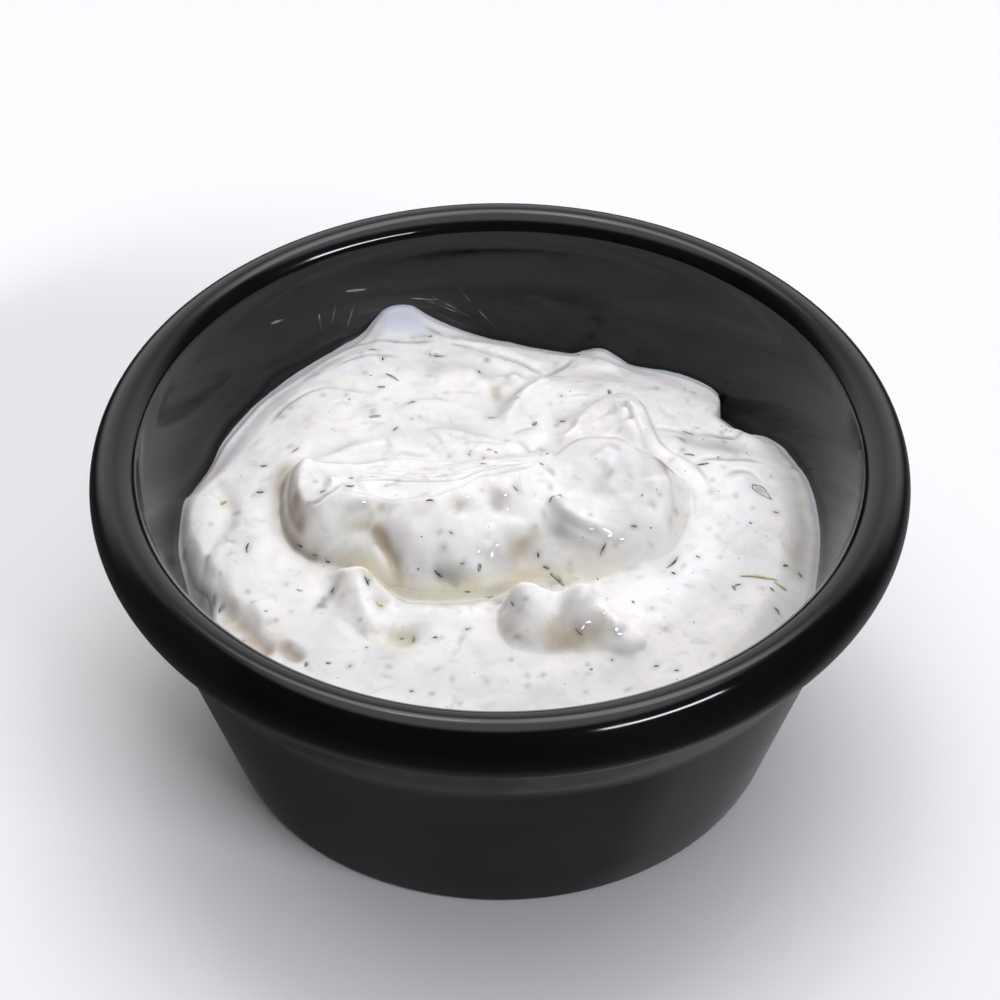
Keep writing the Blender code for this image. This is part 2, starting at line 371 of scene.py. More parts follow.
def yoghurt_finish():
    """Thick white yoghurt: light passes into it.

    Painted shade tints hollows warm brown, and creases and places turned from the light grey; the
    grey also shows herbs under the cream. Whey tints yellow, in some hollows as painted warm shade,
    and the thin film at the wall tints bluish.
    """
    material, tree, shader = start_finish("tzatziki")
    layer = {name: put(tree, "ShaderNodeAttribute", attribute_name=name).outputs["Fac"] for name in TINTS}
    cloud = shade_range(tree, grain(tree, 330.0, 3.0, 0.55, distortion=0.6), 0.40, 0.66, 0.0, 1.0)
    colour = mix_colour(tree, cloud, (0.925, 0.915, 0.895), (0.835, 0.832, 0.815))
    below = shade_range(tree, grain(tree, 560.0, 1.0, distortion=0.7), 0.60, 0.80, 0.0, 0.30)
    # painted shade: the hollow and grey tints darken hollows, creases and places turned from the light; grey
    # also marks herbs under the cream, and whey's yellow also warms some shaded hollows
    for share, tint in ((below, (0.42, 0.44, 0.42)), (layer["film"], (0.66, 0.69, 0.76)),
                        (layer["grey"], (0.36, 0.36, 0.35)), (layer["whey"], (0.70, 0.65, 0.47)),
                        (layer["hollow"], (0.46, 0.39, 0.29))):
        colour = mix_colour(tree, share, colour, tint)
    dry = shade_range(tree, grain(tree, 260.0, 3.0), 0.35, 0.7, 0.42, 0.55)
    gloss = shade_range(tree, layer["wet"], 0.2, 0.8, 1.0, 0.12)
    fill(tree, shader, {
        "Base Color": colour,
        "Roughness": maths(tree, 'MULTIPLY', dry, gloss),
        "Normal": relief(tree, grain(tree, 1500.0, 3.0), 0.10, 0.0003),
        "Subsurface Weight": 1.0,
        "Subsurface Radius": (1.0, 0.72, 0.48),
        "Subsurface Scale": 0.0007,
        "Specular IOR Level": 0.35,
        "Coat Weight": 0.25,
        "Coat Roughness": 0.10})
    return material


def herb_finish(name, dark, light, scale):
    """Chopped herb: its green changes from piece to piece."""
    material, tree, shader = start_finish(name)
    tone = shade_range(tree, grain(tree, scale, 1.0), 0.38, 0.62, 0.0, 1.0)
    fill(tree, shader, {"Base Color": mix_colour(tree, tone, dark, light), "Roughness": 0.35})
    return material


def wet_finish(name, first=(0.86, 0.85, 0.82), second=(0.78, 0.77, 0.74), clear=0.0):
    """Cream thinned with whey, smooth and shining; a clearer one is less smooth."""
    material, tree, shader = start_finish(name)
    tint = shade_range(tree, grain(tree, 900.0, 1.0), 0.4, 0.6, 0.0, 1.0)
    fill(tree, shader, {
        "Base Color": mix_colour(tree, tint, first, second),
        "Roughness": 0.04 + 0.70 * clear,
        "Transmission Weight": clear,
        "IOR": 1.45 - 0.11 * clear,
        "Specular IOR Level": 1.0})
    return material


# ---- ramekin

def arc(centre, radius, start, end, steps):
    """Points along an arc in the profile plane; radius is a number or (across, up)."""
    across, up = radius if isinstance(radius, tuple) else (radius, radius)
    points = []
    for step in range(steps + 1):
        angle = start + (end - start) * step / steps
        points.append((centre[0] + across * math.cos(angle), centre[1] + up * math.sin(angle)))
    return points


def roll_end():
    """Angle round the roll's section at which its underside meets the outer wall."""
    outside, inside_wall = -math.pi / 2, -math.pi * 0.75
    while outside - inside_wall > 1e-5:
        middle = (outside + inside_wall) / 2
        if ROLL_RADIUS + ROLL_HALF_WIDTH * math.cos(middle) > \
                outer_wall(ROLL_HEIGHT + ROLL_HALF_HEIGHT * math.sin(middle)):
            outside = middle
        else:
            inside_wall = middle
    return outside


def floor_turn():
    """Middle of the rounding between the ramekin's floor and inside wall."""
    height = FLOOR + FLOOR_CORNER
    return inner_wall(height) - FLOOR_CORNER / math.cos(SLOPE_ANGLE), height


def ramekin_profile():
    """Half section, from the middle of the floor up the inside, over the rim and down the outside."""
    base_turn = (outer_wall(BASE_CORNER) - BASE_CORNER / math.cos(SLOPE_ANGLE), BASE_CORNER)
    start = math.acos((CREASE_RADIUS - ROLL_RADIUS) / ROLL_HALF_WIDTH)
    profile = [(0.0, FLOOR)]
    profile += arc(floor_turn(), FLOOR_CORNER, -math.pi / 2, -SLOPE_ANGLE, CORNER_STEPS)
    profile += [(inner_wall(height), height) for height in (14.0, 20.0, 26.0, 30.0)]
    profile.append((CREASE_RADIUS - 0.06, CREASE_HEIGHT - 0.2))
    profile += arc((ROLL_RADIUS, ROLL_HEIGHT), (ROLL_HALF_WIDTH, ROLL_HALF_HEIGHT), start, roll_end(),
                   ROLL_STEPS)
    profile += [(outer_wall(height), height) for height in (20.0, 10.0, 4.0)]
    profile += arc(base_turn, BASE_CORNER, -SLOPE_ANGLE, -math.pi / 2, CORNER_STEPS)
    profile.append((0.0, 0.0))
    return profile


def finish_piece(bm, name, material):
    """Turns a bmesh into a piece that rides on the one body and takes a slot's finish."""
    mesh = bpy.data.meshes.new(name)
    bm.to_mesh(mesh)
    bm.free()
    mesh.shade_smooth()
    mesh.materials.append(material)
    piece = bpy.data.objects.new(name, mesh)
    bpy.context.scene.collection.objects.link(piece)
    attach(piece, "root")
    return piece


def make_ramekin():
    bm = bmesh.new()
    points = [bm.verts.new((radius * MM, 0.0, height * MM)) for radius, height in ramekin_profile()]
    edges = [bm.edges.new(pair) for pair in zip(points, points[1:])]
    bmesh.ops.spin(bm, geom=points + edges, cent=(0, 0, 0), axis=(0, 0, 1), dvec=(0, 0, 0),
                   angle=math.tau, steps=TURN_STEPS, use_merge=True, use_duplicate=False)
    bmesh.ops.remove_doubles(bm, verts=bm.verts, dist=0.000002)
    bmesh.ops.recalc_face_normals(bm, faces=bm.faces)
    piece = finish_piece(bm, "ramekin_turned", melamine_finish())
    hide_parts("ramekin")


# ---- dip: where it meets the wall

# Height of the dip's edge on the wall, by direction round the bowl
EDGE = [(-180, 20.7), (-174.4, 21.6), (-169.8, 22.8), (-166.2, 24.1), (-163.9, 25.1), (-161, 25.5),
    (-158.7, 25.4), (-156.4, 24.5), (-153.4, 23.4), (-145.8, 22.7), (-138, 22.3), (-129, 21.9),
    (-119, 21.35), (-112.5, 20.65), (-107.6, 20.7), (-103.2, 21.1), (-99.5, 21.7), (-93, 21.3), (-87, 21),
    (-80.4, 19), (-72, 18.8), (-62, 20.4), (-45, 20.9), (-20, 21), (0, 20.8), (20, 20.9), (45, 21.2),
    (65, 20.6), (81.5, 20.2), (90.6, 21), (97.6, 21.5), (105, 21.8), (113, 21.5), (116.4, 21.4),
    (121, 20.7), (123.3, 20.2), (125.6, 19.2), (133.9, 19.1), (134.6, 19.6), (135.1, 21.2), (141.7, 21.3),
    (148, 20.8), (153.8, 20.2), (157, 20.6), (160.4, 21.1), (163.5, 20.6), (166.8, 20), (174, 20.2)]


def edge_level(x, y):
    """Height of the dip along the wall at each place's direction."""
    around = np.degrees(np.arctan2(x, -y))
    angles, levels = smooth_path(EDGE + [(180, EDGE[0][1])], steps=8).T
    return np.interp(around, angles, levels)


# ---- dip: the soft ground

# Places (x, y, height) that the broad shape of the dip passes through
GROUND = [
    # foot of the dollop
    (-19.0, 7.6, 24.5), (-20.7, 3.4, 23.7), (-20.3, 0.0, 23.4), (-18.1, -4.0, 22.8), (-13.5, -6.1, 22.6),
    (-8.8, -8.9, 22.3), (-2.3, -8.9, 22.3), (4.2, -7.1, 22.5), (9.3, -6.5, 22.6), (14.9, -3.9, 23.0),
    (17.6, 1.0, 23.6), (17.6, 4.6, 24.2),
    # under the dollop
    (-12.0, 3.0, 24.4), (-2.0, 1.0, 24.2), (8.0, 1.0, 24.3),
    # behind
    (-16.0, 8.2, 25.0), (-10.0, 8.4, 25.3), (-4.0, 8.2, 25.6), (2.0, 9.0, 25.5), (8.0, 9.6, 25.4),
    (-20.0, 12.0, 24.2), (-12.0, 12.0, 25.2), (-4.0, 13.0, 24.9), (3.5, 13.0, 24.7), (12.0, 12.0, 25.2),
    (-16.0, 17.0, 24.6), (-7.0, 17.0, 24.5), (1.0, 17.0, 24.1), (9.0, 17.5, 24.6), (17.0, 15.0, 23.9),
    (-11.0, 24.5, 24.3), (-4.0, 24.0, 23.7), (3.0, 24.5, 22.9), (9.5, 23.5, 22.8), (15.0, 20.5, 22.8),
    # left and right
    (-25.5, 8.0, 23.0), (-25.5, 1.0, 23.2), (-24.0, -5.5, 22.7), (-23.0, 14.0, 23.4),
    (19.0, 9.0, 24.4), (22.5, 11.0, 23.6), (24.5, 4.5, 23.4), (21.5, -1.5, 23.2), (24.5, -6.5, 22.6),
    # front
    (-21.0, -12.0, 22.3), (-16.5, -9.0, 22.5), (-14.0, -15.0, 22.0), (-8.0, -20.0, 21.8), (-4.5, -13.5, 22.2),
    (0.0, -19.0, 21.9), (8.0, -20.0, 22.0), (15.0, -12.0, 22.8), (16.0, -19.0, 22.3), (20.5, -12.0, 22.9)]


def spline_weight(distance):
    return distance ** 2 * np.log(distance + 1e-9)


def ground_height(x, y):
    """A thin bent sheet through the ground's places."""
    px, py, pz = np.array(GROUND).T
    count = len(px)
    system = np.zeros((count + 3, count + 3))
    system[:count, :count] = spline_weight(np.hypot(px[:, None] - px, py[:, None] - py))
    system[:count, :count] += 3.0 * np.eye(count)
    system[:count, count:] = np.column_stack([np.ones(count), px, py])
    system[count:, :count] = system[:count, count:].T
    weights = np.linalg.solve(system, np.concatenate([pz, np.zeros(3)]))
    height = weights[count] + weights[count + 1] * x + weights[count + 2] * y
    for weight, cx, cy in zip(weights, px, py):
        height = height + weight * spline_weight(np.hypot(x - cx, y - cy))
    return height


# ---- dip: the dollop

# The dollop's lip and the domed end, from the left round to the right, with heights
DOLLOP_LIP = [(-18.5, 6.2, 26.3), (-18.8, 4.5, 26.6), (-18.8, 2, 27), (-18.5, 0.2, 27.1),
    (-17.6, -0.9, 27.1), (-15.9, 0.1, 27.3), (-14, 0.1, 27.4), (-11.6, -0.7, 27.5), (-9.3, -1.1, 27.6),
    (-6.5, -0.9, 27.7), (-5.1, -0.2, 27.7), (-3.7, 0.4, 27.7), (-1.9, 1.8, 27.7), (0, 2.4, 27.6),
    (1.9, 3.1, 27.5), (3.9, 4.1, 27.3), (4.7, 4.6, 27.5), (5.6, 5.4, 27.9), (6.6, 6, 28.3),
    (7.7, 6.4, 28.6), (9.4, 6.4, 28.8), (11.3, 6.1, 28.8), (12.7, 5.4, 28.4), (14, 4.9, 28),
    (15, 4.7, 27.4), (15.8, 4.4, 26.8), (16.4, 4.3, 26.2), (17, 4.6, 25.3)]
DOLLOP_FOOT = [(-19.2, 7.4, 24.6), (-20, 6.6, 24.2), (-20.6, 5.4, 24), (-20.8, 3.4, 23.7),
    (-20.6, 0.6, 23.4), (-20.2, -1.3, 23.2), (-19.4, -2.8, 23), (-18.4, -3.9, 22.8), (-16.9, -4.6, 22.7),
    (-15.4, -5, 22.6), (-13.5, -6, 22.6), (-11.1, -7.9, 22.4), (-8.8, -8.9, 22.3), (-5.5, -9.2, 22.3),
    (-2.3, -8.9, 22.3), (0, -8.2, 22.4), (1.9, -7.4, 22.5), (4.2, -7.1, 22.5), (6, -7.8, 22.5),
    (9.3, -6.5, 22.6), (12.7, -5.1, 22.8), (15.4, -3.6, 23.1), (16.6, -2, 23.4), (17.4, 0.3, 23.8),
    (17.7, 1.8, 24), (17.8, 3.6, 24.3), (17.5, 5.2, 24.6)]
SHELF_BACK = [(-18.5, 6.2, 26.3), (-17.4, 5.7, 26.4), (-16, 5.6, 26.4), (-14.2, 5.5, 26.4),
    (-12.3, 5.7, 26.3), (-10.9, 6.4, 26.2), (-9.5, 6.4, 26.1), (-7, 6.2, 26), (-4.2, 5.8, 26.2),
    (-2.8, 5.9, 26.4), (0, 6, 26.6), (1.9, 6.3, 26.6), (4.3, 6.6, 26.7), (5, 5.3, 27.4)]
FACE_FULLNESS = 0.42
DOME_START = 5.0            # x at which the shelf ends and the domed end begins


def shape_dollop(dip):
    """The dollop's face up to its lip, the shelf behind the lip, and steep drops behind both."""
    lip, foot, back = (smooth_path(points, steps=16) for points in (DOLLOP_LIP, DOLLOP_FOOT, SHELF_BACK))
    mass = np.full(dip.x.shape, NOTHING)
    shelf_lip = lip[lip[:, 0] < DOME_START]
    dome_lip = lip[lip[:, 0] >= DOME_START]
    dip.spread(shelf_lip, back, lambda share: share, mass)
    dip.spread(foot, lip, lambda share: full_profile(share, FACE_FULLNESS), mass)
    open_air = mass < 0
    for edge, reach, depth in ((back, 0.8, 2.2), (dome_lip, 1.1, 4.0)):
        near = dip.close_to(edge, reach) & open_air
        distance, row, _ = track(edge, dip.x[near], dip.y[near])
        fallen = at_row(edge, row, 2) - depth * (distance / reach) ** 1.6
        mass[near] = np.maximum(mass[near], np.where(distance < reach, fallen, NOTHING))
    dip.z = soft_max(mass, dip.z, 0.22)
    # painted shade: a thin dark line along the domed end's far edge, where it drops steeply
    dip.ridge(dome_lip[::16, :2], 0.95, 0.17, 0.17, 0.06, on="grey")


# Strokes, here and below. Each has its kind, and then its place as x, y, or its path as x, y, x, y and
# so on, or a list of those that share the rest. The rest is:
# - a height or a tint at one place: amount, half width, half depth and turn in degrees
# - a height or a tint along a path: amount, width on the left and on the right, and length of its ends
# - crease: depth, width, tone, ends
# - fold: height, reach, edge, groove, ends, tone
# Kinds: z is height; hollow is painted warm shade; grey is painted shade, and also herbs seen through the
# cream; whey is whey's yellow, in places also painted warm shade; film is the thin cream's blue; wet is
# shine.

# Lumps, hollows and creases of the dollop's front, with the left wall's folded foot.
FACE = [
    # left wall: two creases with a narrow roll between, and a warm shadow at the foot
    ("hollow", (-19.3, 5.4, -19.5, 3.4, -19.4, 1.4, -19, -0.4), 0.35, 0.3, 0.3, 0.3),
    ("hollow", (-19, 8, -20.4, 6.8, -20.8, 3.6, -20.6, 0.6, -20, -1.4, -18.7, -3.3, -17, -4.2, -15.2, -4.7),
     0.46, 1.9, 0.7, 0.15),
    ("hollow", (-19.3, -0.6), 0.2, 0.6, 1.8, 10),
    ("hollow", (-20.7, 5.4), 0.36, 0.8, 2.2, 5),
    ("hollow", (-19, 3.4, -18.9, 0.8, -18.5, -1.4, -17.8, -2.8), 0.6, 0.35, 0.7, 0.35),
    ("hollow", (10, -4.6), 0.2, 3.6, 0.9, 15),
    ("crease", (-18.7, 6.6, -19.4, 5.7, -19.7, 4.3, -19.8, 2, -19.6, 0.2, -19.1, -1.4, -18.2, -2.6), 0.35,
     0.22, 1),
    ("crease", (-19.2, 7.2, -20, 6.4, -20.5, 5, -20.6, 3, -20.4, 0.5, -19.9, -1.3, -19.1, -2.8, -17.9, -3.9,
     -16.4, -4.5), 0.25, 0.22, 0.95),
    ("grey", (-18.4, 2.4, -18.3, 0.4, -17.6, -1.2, -16.2, -2), 0.3, 1.2, 0.4, 0.3),
    # upper edge
    ("crease", (-15.2, 0.4, -14, 0.2, -11.6, -0.6, -9.3, -1, -6.5, -0.8, -5.1, -0.1, -3.7, 0.5, -1.9, 1.9,
     0, 2.5, 1.9, 3.2, 3.9, 4.2), 0.1, 0.14, 0.42, 0.1),
    ("z", (-13, -0.9), 0.45, 2, 0.8, -8),
    ("z", (-13.4, -2.5), -0.12, 1.9, 0.9, -8),
    ("hollow", (-15.2, -1.6, -14.5, -2.4, -13, -2.8, -11.4, -2.6), 0.34, 0.5, 0.4, 0.3),
    ("whey", (-13, -2.7), 0.55, 1.8, 0.5, 5),
    ("crease", (-18, -1.1, -17.1, -0.7, -16.3, 0, -15.6, 0.6, -14.8, 1.1), 0.3, 0.2, 0.62, 0.3),
    ("z", (-10.4, -1.5), -0.45, 1, 0.7, 20),
    ("hollow", (-11.4, -1.2, -10.8, -1.9, -9.9, -2.3), 0.75, 0.55, 0.5, 0.3),
    ("z", (-6.8, -1.6), 0.4, 1.3, 0.9),
    ("z", (-3.2, -0.6), 0.4, 1, 0.8),
    ("z", (-3.8, -1.6), -0.25, 0.9, 0.6),
    ("whey", (-3.8, -1.3), 0.4, 0.8, 0.6),
    ("z", (0.4, 0.4), 0.65, 0.95, 1),
    ("z", (-0.6, 1.4, -0.9, 0.3, -0.5, -0.9, 0.6, -1.4), -0.35, 0.5, 0.5, 0.3),
    ("hollow", (-0.5, 1.2, -0.7, 0.4, -0.4, -0.6, 0.5, -1.2), 0.32, 0.8, 0.5, 0.3),
    ("grey", (0.3, 0.2), 0.22, 0.6, 0.7),
    # the deep dent at the middle left
    ("z", (-11.8, -3, -11, -3.9, -10.2, -4.9, -9.6, -6, -8.9, -7.8), -0.9, 0.95, 0.7, 0.4),
    ("hollow", (-12, -2.8, -11.2, -3.7, -10.4, -4.9, -9.7, -6.3, -9, -8.3), 1.3, 0.66, 0.56, 0.22),
    ("grey", (-11.5, -3.4, -10.7, -4.5, -10.1, -5.6, -9.6, -6.6), 0.55, 0.42, 0.32, 0.4),
    ("hollow", (-11.4, -3.4), 0.4, 0.9, 0.6, -30),
    ("z", (-13.6, -4.4), 0.25, 1.6, 1.2),
    ("hollow", (-14.6, -5), 0.34, 1.6, 0.9),
    # bulging middle
    ("z", (-7.6, -4.6), 0.45, 1.7, 2.2, 10),
    ("z", (-4.2, -5.2), 0.35, 1.6, 2.2),
    ("z", (-5.9, -4.8), -0.2, 0.6, 2),
    ("z", (-5.6, -7.2), -0.35, 0.8, 0.7),
    ("grey", (-4.6, -7.4), 0.3, 1.2, 0.8, -35),
    ("z", (-1.2, -2.6, -0.4, -4.2, -1.6, -5.6), 0.35, 0.7, 0.9),
    ("z", (-2.2, -6.4), 0.25, 1.2, 1),
    ("z", (2.2, -4.2), -0.7, 1.9, 1.7, 20),
    ("z", (0.2, -2.6, 1.4, -2.4, 2.8, -2.2), 0.25, 0.5, 0.7, 0.4),
    ("hollow", (0.2, -4.2, 1.6, -3.8, 2.8, -3, 3.8, -2), 0.75, 0.7, 1.1, 0.25),
    # low crest under the domed end, with painted shade under its peak
    ("fold", (4.3, 1.4, 4.5, 0.2, 5, -0.4, 5.9, -1, 6.9, -1.7, 8.2, -2.3, 9.6, -2.7, 11, -2.8, 12.4, -2.6),
     0.48, 2.2, 0.5, 0, 0.35, 0),
    ("z", (5.2, -0.4, 6.2, -1.1, 7.6, -1.9, 9.2, -2.4, 10.8, -2.6), 0.34, 0.55, 0.3, 0.3),
    ("z", (5.3, -0.2), 0.6, 0.6, 0.6),
    ("z", (5.1, -2.3), -0.4, 1.3, 1.1, 0),
    ("grey", (5.5, -2.3), 0.8, 1.4, 1.3, -35),
    ("grey", (7.2, -3.3), 0.34, 1.9, 0.8, -20),
    ("grey", (5.2, -2.4, 6.8, -3.1, 8.8, -3.7, 11.4, -3.9), 0.08, 0.6, 0.9, 0.3),
    ("z", (9.8, -5.2), 0.25, 2.4, 1, 15),
    ("hollow", (5, -5.2), 0.14, 4.5, 1.3, 5),
    ("hollow", (1.8, -6.2), 0.32, 1.8, 0.8),
    ("hollow", (6.2, -6.1), 0.28, 2.6, 0.8)]


# The domed end's shallow grooves and its right side.
DOME = [
    ("fold", (15.3, -3.2, 15.8, -1.9, 16.1, -0.6, 16.3, 1.2, 16.3, 3.2, 15.9, 4.3), 0.55, 2.6, 0.5, 0, 0.3),
    ("crease", (8.1, 4.4, 9.2, 5, 10, 5.5, 10.7, 5.3, 11.5, 4.8), 0.1, 0.28, 0.3),
    ("z", (9.6, 4.4, 9.2, 2.4, 9, 0.4), -0.22, 0.6, 0.6),
    ("z", (11.3, 4.6, 11.9, 2.4, 12.1, 0.8), -0.2, 0.5, 0.5),
    ("z", (10.3, 4.6, 10.4, 2.6, 10.6, 0.8), 0.18, 0.5, 0.5),
    ("z", (13.4, 3.4, 14, 1.6, 14.2, -0.4), -0.18, 0.6, 0.6),
    ("grey", [(9.6, 4.4, 9.2, 2.4, 9, 0.4), (13.4, 3.4, 14, 1.6, 14.2, -0.4)], 0.1, 0.8, 0.8),
    ("whey", (13.9, 2.2), 0.35, 0.4, 0.9, 30),
    ("grey", (14.4, 4.9, 15.4, 4.2, 16, 2.8, 16.2, 1, 16, -0.8, 15.4, -2.6), 0.3, 0.25, 1, 0.25),
    ("grey", (14.3, 4.9, 15.2, 4.5, 15.9, 3.4, 16.1, 2), 0.5, 0.18, 0.18, 0.3),
    ("hollow", (16.9, 4.4, 17.1, 2.4, 17, 0.4, 16.5, -1.4, 15.6, -2.9), 0.18, 0.6, 0.5, 0.2),
    ("z", (17.2, 5.2, 17.8, 4, 18, 2.4, 17.9, 0.8), 0.3, 0.3, 0.4, 0.3)]


# Thin layers lying over each other behind the lip.
SHELF = [
    ("fold", (3.9, 4.5, 2, 4.2, 0, 3.8, -2.8, 2.9, -5.6, 2.4, -8.7, 2.5, -10.4, 2.9, -11.9, 2.9, -14.2, 1.5,
     -15.6, 0.8), 0.3, 0.8, 0.14, 0.6, 0.1, 0.65),
    ("fold", (3.2, 4.2, 0, 3.2, -2.3, 2.4, -3.7, 1.7, -5.6, 1.5, -8, 1.7, -9.4, 1.8, -10.8, 2.1, -12.4, 1.9,
     -13.6, 1.4), 0.22, 0.6, 0.14, 0.6, 0.12, 0.5),
    ("fold", (2.8, 4.9, 0.9, 4.9, -0.9, 4.4, -2.8, 3.9, -4.7, 3.4, -6.6, 3.3, -8, 3.4, -9.4, 3.8, -10.8, 4),
     0.22, 0.9, 0.14, 0.6, 0.15, 0.4),
    ("hollow", (-14, 2.2, -11.8, 2.6, -9.4, 2.2, -7.4, 2.1, -5, 2.2), 0.14, 0.9, 0.4, 0.3),
    ("crease", (5.4, 7, 4.3, 6.5, 1.9, 6.2, 0, 5.9, -2.8, 5.9, -4.2, 5.6, -5.6, 5.2), 0.3, 0.18, 0.6),
    ("crease", (-18.2, 6, -16, 5.5, -14.2, 5.4, -12.3, 5.6, -10.9, 6.2, -9.3, 6.2), 0.1, 0.14, 0.5, 0.1),
    ("crease", (3.9, 4.1, 4.7, 3.4, 5.2, 2.6), 0.25, 0.22, 0.35, 0.4),
    ("crease", [(-12.8, 3.4, -11.6, 3.7, -10.2, 3.3), (-9.6, 2.9, -8.4, 3.2, -7.2, 2.9), (-13.4, 2.3,
     -12.2, 2.7, -11, 2.5), (-6.4, 2.7, -5, 2.9, -3.6, 3.3), (-11.4, 1.1, -10.2, 1.5, -9, 1.2), (-8.2, 4.9,
     -6.6, 4.6, -5, 4.8), (-13, 4.6, -11.4, 4.9, -10.2, 4.7), (-2.4, 3.6, -0.6, 4, 1, 4.2)], 0.12, 0.14,
     0.45, 0.35),
    ("z", (-18.3, 5.6), 0.35, 0.5, 0.6),
    ("z", (-15.7, 2.1), 0.6, 0.5, 0.6),
    ("z", (-16.6, 1.6), -0.35, 0.55, 0.6),
    ("whey", (-16.6, 1.5), 0.4, 0.5, 0.5),
    ("grey", (-17, 4.6, -16.4, 3.4, -15.6, 2.6), 0.25, 0.5, 0.5),
    ("z", (-12.6, 4.2), -0.15, 2.4, 0.6),
    ("z", (-8.6, 0.4), 0.15, 2.6, 0.5)]


